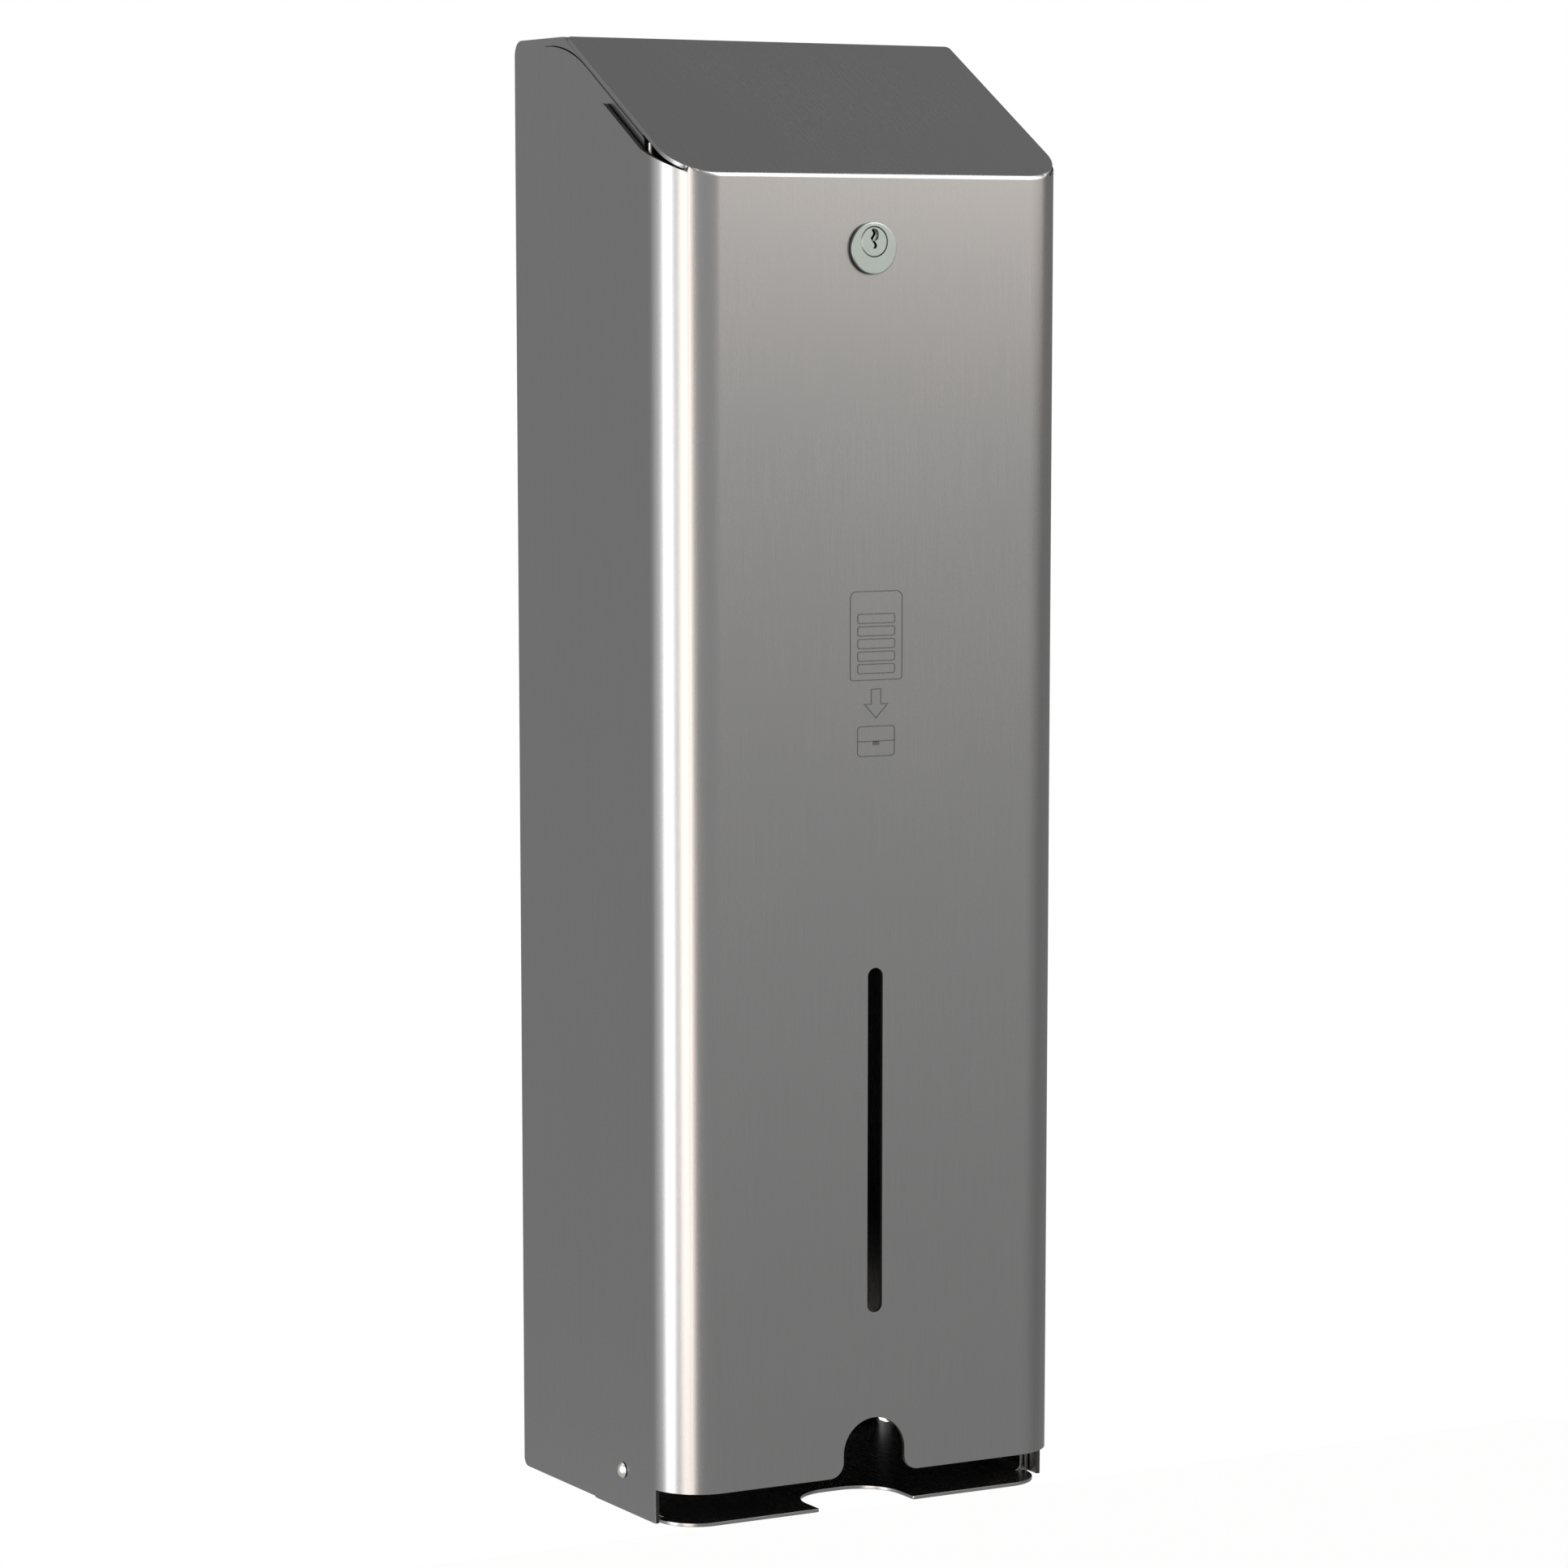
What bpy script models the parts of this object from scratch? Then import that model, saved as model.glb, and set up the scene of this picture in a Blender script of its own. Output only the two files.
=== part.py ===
"""Wall-hung stainless dispenser for a stack of wrapped sanitary pads.

The case is a folded back sheet, two side plates, a bottom tray and a strike rail. The front
cover, with its sloping lid, tilts forward about a rivet at each side near the bottom, and a cam
lock behind its face catches the strike rail.

Units are metres. X runs across the dispenser, Y from its front to the wall and Z up. The origin
is the middle of the face that lies on the wall. Depths are distances from the wall, and heights
are distances from the bottom of the case.
"""

import math

import bmesh
import bpy
from mathutils import Vector

# Sheet thicknesses
CASE_SHEET = 0.0010
COVER_SHEET = 0.0012
TRAY_SHEET = 0.0012
RAIL_SHEET = 0.0012

# Clearances
SEAT_GAP = 0.0003
COVER_SIDE_GAP = 0.0005
LID_GAP = 0.0012
CORNER_GAP = 0.0003
PIN_GAP = 0.0002
SWING_GAP = 0.0005
OVERRUN = 0.0040
WELD_DISTANCE = 0.000001

# Case
CASE_HEIGHT = 0.4870
BACK_BEND_RADIUS = 0.0030
LIP_BEND_RADIUS = 0.0020
LIP_LENGTH = 0.0120
BACK_FLANGE_RADIUS = 0.0020
BACK_FLANGE_WIDTH = 0.0110
BACK_FLANGE_DROP = 0.0060
BACK_RELIEF = 0.0009
SHOULDER_DROP = 0.0027
SHOULDER_RADIUS = 0.0560
SLIT_DEPTH = 0.0230
SLIT_START_WIDTH = 0.00045
TONGUE_RADIUS = 0.0620
TONGUE_REACH = 0.0080
SIDE_FRONT_INSET_TOP = 0.0230
SIDE_FRONT_INSET_BOTTOM = 0.0200
SIDE_EDGE_RADIUS = 0.0010

# Front cover and lid
COVER_WIDTH = 0.1500
COVER_DEPTH = 0.1160
COVER_CORNER_RADIUS = 0.0173
LID_CORNER_RADIUS = 0.0178
LID_FALL = 0.0455
FRONT_BEND_RADIUS = 0.0022
FRONT_BOTTOM = 0.0120
COVER_SIDE_BOTTOM = 0.0006
STEP_PAST_CORNER = 0.0024
LID_REAR_DEPTH = 0.0390
LID_REAR_RADIUS = 0.0015
COVER_SIDE_DROP = 0.0055
COVER_SIDE_REACH_TOP = 0.0529
COVER_SIDE_REACH_BOTTOM = 0.0594
COVER_SIDE_TOP_RADIUS = 0.0040
COVER_SIDE_LOW_RADIUS = 0.0020
CORNER_EASE_SHARE = 0.55

# Openings in the front
SIGHT_SLOT_WIDTH = 0.0056
SIGHT_SLOT_BOTTOM = 0.0670
SIGHT_SLOT_TOP = 0.1828
THUMB_NOTCH_RADIUS = 0.0117
THUMB_NOTCH_TOP = 0.0313
THUMB_NOTCH_FLARE = 0.0052

# Bottom tray
TRAY_BEND_RADIUS = 0.0030
TRAY_FLANGE_HEIGHT = 0.0062
TRAY_REAR_FLANGE_HEIGHT = 0.0080
TRAY_REAR_FLANGE_HALF = 0.0680
TRAY_FLANGE_START = 0.0080
TRAY_FLANGE_INSET = 0.0210
TRAY_RELIEF = 0.0009
FINGER_NOTCH_HALF = 0.0182
FINGER_NOTCH_DEPTH = 0.0240
FINGER_NOTCH_RADIUS = 0.0150
FINGER_NOTCH_LIP_RADIUS = 0.0008

# Strike rail
RAIL_DROP = 0.0180
RAIL_BEND_RADIUS = 0.0024
RAIL_TAB_LENGTH = 0.0120
RAIL_FLANGE_WIDTH = 0.0110

# Hinge rivets and their washers
PIN_INSET = 0.0380
PIN_HEIGHT = 0.0142
PIN_RADIUS = 0.0020
RIVET_HEAD_RADIUS = 0.0027
RIVET_HEAD_HEIGHT = 0.0014
RIVET_TAIL_RADIUS = 0.0031
RIVET_TAIL_HEIGHT = 0.0013
WASHER_RADIUS = 0.0045
WASHER_THICKNESS = 0.0008

# Cam lock
LOCK_X = -0.0020
LOCK_DROP = 0.0236
LOCK_FACE_RADIUS = 0.0084
LOCK_FACE_THICKNESS = 0.0016
LOCK_FACE_EDGE = 0.0006
LOCK_BODY_RADIUS = 0.0071
LOCK_FLAT_HALF = 0.0063
PLUG_OFFSET = 0.0021
PLUG_HEAD_RADIUS = 0.0049
PLUG_HEAD_DEPTH = 0.0030
PLUG_BODY_RADIUS = 0.0041
PLUG_EDGE = 0.0003
PLUG_GAP = 0.0003
KEYWAY_HALF_WIDTH = 0.0005
KEYWAY_LOW = -0.0022
KEYWAY_HIGH = 0.0042
KEYWAY_WAVE = 0.0005
KEYWAY_WAVE_LENGTH = 0.0039
KEYWAY_DEPTH = 0.0080
KEY_GUIDE_HALF = 0.0016
KEY_GUIDE_LOW = 0.0002
KEY_GUIDE_DEPTH = 0.0009
CAM_SQUARE_HALF = 0.0027
CAM_THICKNESS = 0.0020
CAM_HALF_WIDTH = 0.0060
CAM_REACH = 0.0250
CAM_TIP_RADIUS = 0.0020
CAM_GAP = 0.0004
NUT_HALF_FLATS = 0.0095
NUT_THICKNESS = 0.0030
NUT_CHAMFER = 0.0006
TOOTH_WASHER_THICKNESS = 0.0007
TOOTH_WASHER_RADIUS = 0.0093
TOOTH_DEPTH = 0.0009
TOOTH_SLANT_SHARE = 0.20
CAM_WASHER_RADIUS = 0.0045
CAM_WASHER_THICKNESS = 0.0008
CAM_SCREW_RADIUS = 0.0020
CAM_SCREW_LENGTH = 0.0080
CAM_SCREW_HEAD_RADIUS = 0.0037
CAM_SCREW_HEAD_HEIGHT = 0.0024
CAM_SCREW_CROSS_HALF = 0.0005
CAM_SCREW_CROSS_REACH = 0.0020
CAM_SCREW_CROSS_DEPTH = 0.0012

# Wall fixing holes in the back
KEYHOLE_X = 0.0450
KEYHOLE_DROP = 0.0620
KEYHOLE_HEAD_RADIUS = 0.0048
KEYHOLE_SHANK_RADIUS = 0.0026
KEYHOLE_RISE = 0.0090
LOWER_HOLE_HEIGHT = 0.0600
LOWER_HOLE_RADIUS = 0.0026

# Counts and angles
BEND_STEPS = 5
CORNER_STEPS = 10
ROUND_STEPS = 32
TOOTH_COUNT = 14
HEX_SIDES = 6
QUARTER_TURN = math.radians(90)

# Sizes that follow from the ones above
FRONT_HEIGHT = CASE_HEIGHT - LID_FALL
LOCK_HEIGHT = FRONT_HEIGHT - LOCK_DROP
KEYHOLE_HEIGHT = CASE_HEIGHT - KEYHOLE_DROP
LIP_END_DEPTH = LID_REAR_DEPTH + LIP_LENGTH
TONGUE_END_DEPTH = LID_REAR_DEPTH + TONGUE_REACH
PIN_DEPTH = COVER_DEPTH - PIN_INSET
SIDE_FRONT_DEPTH_TOP = COVER_DEPTH - SIDE_FRONT_INSET_TOP
SIDE_FRONT_DEPTH_BOTTOM = COVER_DEPTH - SIDE_FRONT_INSET_BOTTOM
COVER_SIDE_DEPTH_TOP = COVER_DEPTH - COVER_SIDE_REACH_TOP
COVER_SIDE_DEPTH_BOTTOM = COVER_DEPTH - COVER_SIDE_REACH_BOTTOM
TRAY_FLANGE_END = COVER_DEPTH - TRAY_FLANGE_INSET
HALF_COVER = COVER_WIDTH / 2
HALF_CASE = HALF_COVER - COVER_SHEET - COVER_SIDE_GAP
HALF_FRONT = HALF_COVER - COVER_CORNER_RADIUS
HALF_INSIDE = HALF_CASE - CASE_SHEET
HALF_TRAY = HALF_INSIDE - SEAT_GAP
CORNER_DEPTH = COVER_DEPTH - COVER_CORNER_RADIUS
SLOPE = math.atan2(CASE_HEIGHT - FRONT_HEIGHT, COVER_DEPTH - LID_REAR_DEPTH)
EDGE_OFFSET = COVER_SHEET + LID_GAP
LIP_OFFSET = COVER_SHEET + SEAT_GAP
BACK_FACE = CASE_SHEET + SEAT_GAP
BACK_FLANGE_LOW = TRAY_REAR_FLANGE_HEIGHT + SEAT_GAP
COVER_INNER_REACH = COVER_DEPTH - COVER_SHEET - PIN_DEPTH
TRAY_FRONT = PIN_DEPTH + math.sqrt((COVER_INNER_REACH - SWING_GAP) ** 2 - PIN_HEIGHT**2)
RAIL_DEPTH = SIDE_FRONT_DEPTH_TOP - SEAT_GAP
PLUG_SHOULDER = RAIL_DEPTH - RAIL_SHEET - CAM_GAP + SEAT_GAP
LOCK_BODY_LENGTH = COVER_DEPTH - PLUG_SHOULDER - SEAT_GAP
PLUG_LENGTH = COVER_DEPTH - PLUG_SHOULDER


def lid_height(depth, offset=0):
    """Height at this depth of the line that lies offset below the lid's outer face."""
    return CASE_HEIGHT - (depth - LID_REAR_DEPTH) * math.tan(SLOPE) - offset / math.cos(SLOPE)


def lid_depth(height, offset=0):
    """Depth at which that line has this height."""
    fall = CASE_HEIGHT - offset / math.cos(SLOPE) - height
    return LID_REAR_DEPTH + fall / math.tan(SLOPE)


def arc(centre, radius, start, end, steps):
    """Points on an arc from one angle to another, both ends included."""
    angles = [start + (end - start) * step / steps for step in range(steps + 1)]
    return [(centre[0] + radius * math.cos(a), centre[1] + radius * math.sin(a)) for a in angles]


def rounded(corners, steps=BEND_STEPS):
    """An outline of (across, up, radius) corners, with an arc in place of each rounded one."""
    outline = []
    count = len(corners)
    for index, (across, up, radius) in enumerate(corners):
        here = Vector((across, up))
        if radius == 0:
            outline.append((across, up))
            continue
        back = (Vector(corners[index - 1][:2]) - here).normalized()
        ahead = (Vector(corners[(index + 1) % count][:2]) - here).normalized()
        half = back.angle(ahead) / 2
        centre = here + (back + ahead).normalized() * radius / math.sin(half)
        start = here + back * radius / math.tan(half) - centre
        end = here + ahead * radius / math.tan(half) - centre
        first = math.atan2(start.y, start.x)
        turn = math.atan2(start.x * end.y - start.y * end.x, start.dot(end))
        outline += arc(centre, radius, first, first + turn, steps)
    pairs = zip(outline, outline[-1:] + outline)
    return [point for point, previous in pairs if math.dist(point, previous) > WELD_DISTANCE]


def mirrored(points):
    """The same outline points on the other side of X = 0, in reverse order."""
    return [(-across, other) for across, other in reversed(points)]


def on_plane(axis, position, across, up):
    """A point of an outline drawn square to an axis, at this position on that axis."""
    if axis == "X":
        return Vector((position, -across, up))
    if axis == "Y":
        return Vector((across, -position, up))
    return Vector((across, -up, position))


def clear_scene():
    for obj in list(bpy.data.objects):
        bpy.data.objects.remove(obj, do_unlink=True)


def make_material(name, colour, roughness, metallic):
    material = bpy.data.materials.new(name)
    material.use_nodes = True
    shader = material.node_tree.nodes["Principled BSDF"]
    shader.inputs["Base Color"].default_value = (*colour, 1.0)
    shader.inputs["Roughness"].default_value = roughness
    shader.inputs["Metallic"].default_value = metallic
    return material


def make_frame(name, parent, location):
    """An empty that carries the pieces of one body."""
    empty = bpy.data.objects.new(name, None)
    bpy.context.scene.collection.objects.link(empty)
    empty.parent = parent
    empty.location = location
    return empty


def make_object(name, mesh_builder, parent, material=None):
    """An object from a bmesh, carried by the given frame."""
    mesh = bpy.data.meshes.new(name)
    mesh_builder.to_mesh(mesh)
    mesh_builder.free()
    obj = bpy.data.objects.new(name, mesh)
    bpy.context.scene.collection.objects.link(obj)
    obj.parent = parent
    if material:
        mesh.materials.append(material)
    return obj


def case_origin(obj):
    """Sets an object whose mesh is drawn in depths and heights on the case's own origin."""
    frame = obj.parent
    offset = Vector()
    while frame.parent:
        offset -= frame.location
        frame = frame.parent
    obj.location = offset
    return obj


def prism(name, axis, low, high, outlines, parent, material=None):
    """A solid from one or more outlines, extruded along an axis from low to high."""
    builder = bmesh.new()
    for outline in outlines:
        corners = [builder.verts.new(on_plane(axis, low, *point)) for point in outline]
        face = builder.faces.new(corners)
        grown = bmesh.ops.extrude_face_region(builder, geom=[face])["geom"]
        moved = [item for item in grown if isinstance(item, bmesh.types.BMVert)]
        shift = on_plane(axis, high, 0, 0) - on_plane(axis, low, 0, 0)
        bmesh.ops.translate(builder, verts=moved, vec=shift)
    bmesh.ops.recalc_face_normals(builder, faces=builder.faces)
    return make_object(name, builder, parent, material)


def sheet(name, patches, outward, thickness, parent, material):
    """A folded sheet. The patches are its outer face, and outward is the first patch's normal."""
    builder = bmesh.new()
    for patch in patches:
        builder.faces.new([builder.verts.new(point) for point in patch])
    bmesh.ops.remove_doubles(builder, verts=builder.verts, dist=WELD_DISTANCE)
    bmesh.ops.recalc_face_normals(builder, faces=builder.faces)
    builder.faces.ensure_lookup_table()
    if builder.faces[0].normal.dot(Vector(outward)) < 0:
        bmesh.ops.reverse_faces(builder, faces=builder.faces)
    obj = case_origin(make_object(name, builder, parent, material))
    modifier = obj.modifiers.new("thickness", "SOLIDIFY")
    modifier.thickness = thickness
    modifier.offset = -1
    modifier.use_even_offset = True
    modifier.use_quality_normals = True
    return obj


def revolve(name, profile, parent, material=None, steps=ROUND_STEPS):
    """A turned piece about its own Z. The (radius, height) profile runs from top to bottom."""
    builder = bmesh.new()
    points = [builder.verts.new((radius, 0, height)) for radius, height in profile]
    for first, second in zip(points, points[1:]):
        builder.edges.new((first, second))
    if profile[0][0] > 0:
        builder.edges.new((points[-1], points[0]))
    obj = make_object(name, builder, parent, material)
    modifier = obj.modifiers.new("turn", "SCREW")
    modifier.steps = steps
    modifier.render_steps = steps
    modifier.use_merge_vertices = True
    modifier.merge_threshold = WELD_DISTANCE
    modifier.use_smooth_shade = False
    return obj


def cut(obj, cutter):
    """Takes the cutter's shape out of an object, and keeps the cutter as a hidden helper."""
    cutter.hide_render = True
    cutter.display_type = "WIRE"
    modifier = obj.modifiers.new(cutter.name, "BOOLEAN")
    modifier.operation = "DIFFERENCE"
    modifier.solver = "EXACT"
    modifier.object = cutter


def join(obj, other):
    """Adds another solid to an object, and keeps it as a hidden helper."""
    other.hide_render = True
    other.display_type = "WIRE"
    modifier = obj.modifiers.new(other.name, "BOOLEAN")
    modifier.operation = "UNION"
    modifier.solver = "EXACT"
    modifier.object = other


def shade_round(obj):
    """Smooth shading over the turned faces, sharp over the edges."""
    obj.data.shade_smooth()
    obj.data.set_sharp_from_angle(angle=math.radians(35))


def make_materials():
    steel = make_material("brushed_stainless_steel", (0.46, 0.46, 0.46), 0.32, 1.0)
    case = make_material("mill_stainless_steel", (0.40, 0.40, 0.41), 0.38, 1.0)
    chrome = make_material("satin_chromed_zinc", (0.40, 0.45, 0.42), 0.25, 1.0)
    zinc = make_material("zinc_plated_steel", (0.52, 0.52, 0.50), 0.35, 1.0)
    return steel, case, chrome, zinc


# Case


def circle(centre, radius, steps=ROUND_STEPS):
    return arc(centre, radius, 0, 2 * math.pi, steps)[:-1]


def keyhole(across):
    """A round hole for a screw head, with a narrower slot that rises from it."""
    reach = math.asin(KEYHOLE_SHANK_RADIUS / KEYHOLE_HEAD_RADIUS)
    head = arc((across, KEYHOLE_HEIGHT), KEYHOLE_HEAD_RADIUS, QUARTER_TURN + reach,
               5 * QUARTER_TURN - reach, ROUND_STEPS)
    slot = arc((across, KEYHOLE_HEIGHT + KEYHOLE_RISE), KEYHOLE_SHANK_RADIUS, 0,
               2 * QUARTER_TURN, CORNER_STEPS)
    return head + slot


def make_back_panel(case, material):
    """The sheet that is folded from the back over the top and down into a lip under the lid.

    It stands between the side plates, with a flange along each side of its back.
    """
    flat = HALF_TRAY - BACK_FLANGE_RADIUS
    flange_high = CASE_HEIGHT - BACK_FLANGE_DROP
    wide = flange_high + BACK_RELIEF
    profile = rounded([
        (0, TRAY_BEND_RADIUS, 0),
        (0, CASE_HEIGHT, BACK_BEND_RADIUS),
        (lid_depth(CASE_HEIGHT, LIP_OFFSET), CASE_HEIGHT, LIP_BEND_RADIUS),
        (LIP_END_DEPTH, lid_height(LIP_END_DEPTH, LIP_OFFSET), 0),
    ])
    right = [
        (flat, TRAY_BEND_RADIUS),
        (flat, BACK_FLANGE_LOW),
        (flat, flange_high),
        (flat, wide),
        (HALF_TRAY, wide),
        (HALF_TRAY, profile[1][1]),
    ]
    patches = [[on_plane("Y", 0, *point) for point in right + mirrored(right)]]
    for first, second in zip(profile[1:], profile[2:]):
        patches.append([
            on_plane("X", -HALF_TRAY, *first),
            on_plane("X", HALF_TRAY, *first),
            on_plane("X", HALF_TRAY, *second),
            on_plane("X", -HALF_TRAY, *second),
        ])
    fold = arc((flat, BACK_FLANGE_RADIUS), BACK_FLANGE_RADIUS, -QUARTER_TURN, 0, BEND_STEPS)
    fold.append((HALF_TRAY, BACK_FLANGE_WIDTH))
    for side in (-1, 1):
        for first, second in zip(fold, fold[1:]):
            patches.append([
                on_plane("Z", BACK_FLANGE_LOW, side * first[0], first[1]),
                on_plane("Z", BACK_FLANGE_LOW, side * second[0], second[1]),
                on_plane("Z", flange_high, side * second[0], second[1]),
                on_plane("Z", flange_high, side * first[0], first[1]),
            ])
    panel = sheet("back_panel", patches, (0, 1, 0), CASE_SHEET, case, material)
    holes = [keyhole(-KEYHOLE_X), keyhole(KEYHOLE_X)]
    holes += [circle((side * KEYHOLE_X, LOWER_HOLE_HEIGHT), LOWER_HOLE_RADIUS) for side in (-1, 1)]
    cut(panel, prism("wall_fixing_holes", "Y", -OVERRUN, OVERRUN, holes, case))
    return panel


def side_plate_outline():
    """The side plate in depths and heights. A curved slit parts its shoulder from a thin tongue."""
    low = CASE_HEIGHT - SHOULDER_DROP
    high = low + SLIT_START_WIDTH
    turn = math.asin((TONGUE_END_DEPTH - SLIT_DEPTH) / TONGUE_RADIUS)
    tongue = arc((SLIT_DEPTH, high - TONGUE_RADIUS), TONGUE_RADIUS, QUARTER_TURN,
                 QUARTER_TURN - turn, BEND_STEPS)
    shoulder = [
        (0, 0, TRAY_BEND_RADIUS),
        (SIDE_FRONT_DEPTH_BOTTOM, 0, SIDE_EDGE_RADIUS),
        (SIDE_FRONT_DEPTH_TOP, lid_height(SIDE_FRONT_DEPTH_TOP, EDGE_OFFSET), SIDE_EDGE_RADIUS),
        (lid_depth(low, EDGE_OFFSET), low, SHOULDER_RADIUS),
        (SLIT_DEPTH, low, 0),
    ]
    top = [
        (TONGUE_END_DEPTH, lid_height(TONGUE_END_DEPTH, LIP_OFFSET), 0),
        (lid_depth(CASE_HEIGHT, LIP_OFFSET), CASE_HEIGHT, LIP_BEND_RADIUS),
        (0, CASE_HEIGHT, BACK_BEND_RADIUS),
    ]
    return rounded(shoulder + [(*point, 0) for point in tongue] + top)


def make_side_plate(name, side, case, material):
    """A flat side plate, outside the back sheet and inside the cover's side."""
    inner, outer = HALF_CASE - CASE_SHEET, HALF_CASE
    low, high = sorted((side * inner, side * outer))
    plate = case_origin(prism(name, "X", low, high, [side_plate_outline()], case, material))
    hole = circle((PIN_DEPTH, PIN_HEIGHT), PIN_RADIUS + PIN_GAP)
    low, high = sorted((side * (inner - OVERRUN), side * (outer + OVERRUN)))
    cut(plate, prism(name + "_pin_hole", "X", low, high, [hole], case))
    return plate


def make_bottom_tray(case, material):
    """The floor that the stack rests on, with its finger notch and three upturned flanges."""
    bend_x = HALF_TRAY - TRAY_BEND_RADIUS
    rear = BACK_FACE + TRAY_BEND_RADIUS
    wide = TRAY_FLANGE_END + TRAY_RELIEF
    corner = HALF_TRAY - HALF_FRONT
    notch_end = TRAY_FRONT - FINGER_NOTCH_DEPTH
    right = [
        (TRAY_REAR_FLANGE_HALF, rear, 0),
        (TRAY_REAR_FLANGE_HALF, TRAY_FLANGE_START, 0),
        (bend_x, TRAY_FLANGE_START, 0),
        (bend_x, TRAY_FLANGE_END, 0),
        (bend_x, wide, 0),
        (HALF_TRAY, wide, 0),
        (HALF_TRAY, TRAY_FRONT, corner),
        (FINGER_NOTCH_HALF, TRAY_FRONT, FINGER_NOTCH_LIP_RADIUS),
        (FINGER_NOTCH_HALF, notch_end, FINGER_NOTCH_RADIUS),
    ]
    left = [(-across, depth, radius) for across, depth, radius in reversed(right)]
    floor = rounded(right + left, CORNER_STEPS)
    patches = [[on_plane("Z", 0, *point) for point in floor]]
    side_fold = arc((bend_x, TRAY_BEND_RADIUS), TRAY_BEND_RADIUS, -QUARTER_TURN, 0, BEND_STEPS)
    side_fold.append((HALF_TRAY, TRAY_FLANGE_HEIGHT))
    rear_fold = arc((rear, TRAY_BEND_RADIUS), TRAY_BEND_RADIUS, -QUARTER_TURN,
                    -2 * QUARTER_TURN, BEND_STEPS)
    rear_fold.append((BACK_FACE, TRAY_REAR_FLANGE_HEIGHT))
    for first, second in zip(side_fold, side_fold[1:]):
        for side in (-1, 1):
            patches.append([
                on_plane("Z", first[1], side * first[0], TRAY_FLANGE_START),
                on_plane("Z", first[1], side * first[0], TRAY_FLANGE_END),
                on_plane("Z", second[1], side * second[0], TRAY_FLANGE_END),
                on_plane("Z", second[1], side * second[0], TRAY_FLANGE_START),
            ])
    for first, second in zip(rear_fold, rear_fold[1:]):
        patches.append([
            on_plane("X", -TRAY_REAR_FLANGE_HALF, *first),
            on_plane("X", TRAY_REAR_FLANGE_HALF, *first),
            on_plane("X", TRAY_REAR_FLANGE_HALF, *second),
            on_plane("X", -TRAY_REAR_FLANGE_HALF, *second),
        ])
    return sheet("bottom_tray", patches, (0, 0, -1), TRAY_SHEET, case, material)


def make_strike_rail(case, material):
    """The folded rail across the top of the case. The cam catches behind its front flange."""
    straight = HALF_TRAY - RAIL_BEND_RADIUS
    apex = lid_height(RAIL_DEPTH, EDGE_OFFSET)
    low = apex - RAIL_DROP
    rear = RAIL_DEPTH - RAIL_FLANGE_WIDTH
    profile = rounded([
        (RAIL_DEPTH, low, 0),
        (RAIL_DEPTH, apex, RAIL_BEND_RADIUS),
        (rear, lid_height(rear, EDGE_OFFSET), 0),
    ])
    front_high = profile[1][1]
    patches = []
    for first, second in zip(profile, profile[1:]):
        patches.append([
            on_plane("X", -straight, *first),
            on_plane("X", straight, *first),
            on_plane("X", straight, *second),
            on_plane("X", -straight, *second),
        ])
    corner = arc((straight, RAIL_DEPTH - RAIL_BEND_RADIUS), RAIL_BEND_RADIUS, QUARTER_TURN, 0,
                 BEND_STEPS)
    fold = corner + [(HALF_TRAY, RAIL_DEPTH - RAIL_TAB_LENGTH)]
    for side in (-1, 1):
        for first, second in zip(fold, fold[1:]):
            patches.append([
                on_plane("Z", low, side * first[0], first[1]),
                on_plane("Z", low, side * second[0], second[1]),
                on_plane("Z", front_high, side * second[0], second[1]),
                on_plane("Z", front_high, side * first[0], first[1]),
            ])
    return sheet("strike_rail", patches, (0, -1, 0), RAIL_SHEET, case, material)


# Front cover


def lid_half_width(depth):
    """Half the lid's width at this depth: its front corners are arcs in plan."""
    reach = max(depth - (COVER_DEPTH - LID_CORNER_RADIUS), 0)
    sweep = math.sqrt(max(LID_CORNER_RADIUS**2 - reach**2, 0))
    return max(HALF_CASE - LID_CORNER_RADIUS + sweep, HALF_FRONT)


def corner_top(angle, depth):
    """Height of the cover's corner under the lid's edge. The angle runs from side to front."""
    ease = 1 - min(angle / QUARTER_TURN / CORNER_EASE_SHARE, 1)
    under_lid = (COVER_SHEET + CORNER_GAP) / math.cos(SLOPE)
    return lid_height(depth) - under_lid - (COVER_SIDE_DROP - under_lid) * ease**2


def corner_stations(join_height):
    """Places round the cover's corner, from its side to its front: across, depth and top."""
    step_angle = STEP_PAST_CORNER / COVER_CORNER_RADIUS
    angles = [0, step_angle]
    angles += [step_angle + (QUARTER_TURN - step_angle) * step / CORNER_STEPS
               for step in range(1, CORNER_STEPS + 1)]
    stations = []
    for angle in angles:
        across = HALF_FRONT + COVER_CORNER_RADIUS * math.cos(angle)
        depth = CORNER_DEPTH + COVER_CORNER_RADIUS * math.sin(angle)
        stations.append((across, depth, corner_top(angle, depth)))
    stations[-1] = (HALF_FRONT, COVER_DEPTH, join_height)
    return stations


def cover_side_outline(corner_high):
    """The flat side of the cover, from the corner's bend line back to the seam."""
    top_rear = lid_height(COVER_SIDE_DEPTH_TOP) - COVER_SIDE_DROP
    return rounded([
        (CORNER_DEPTH, corner_high, 0),
        (COVER_SIDE_DEPTH_TOP, top_rear, COVER_SIDE_TOP_RADIUS),
        (COVER_SIDE_DEPTH_BOTTOM, COVER_SIDE_BOTTOM, COVER_SIDE_LOW_RADIUS),
        (CORNER_DEPTH, COVER_SIDE_BOTTOM, 0),
    ])


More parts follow.
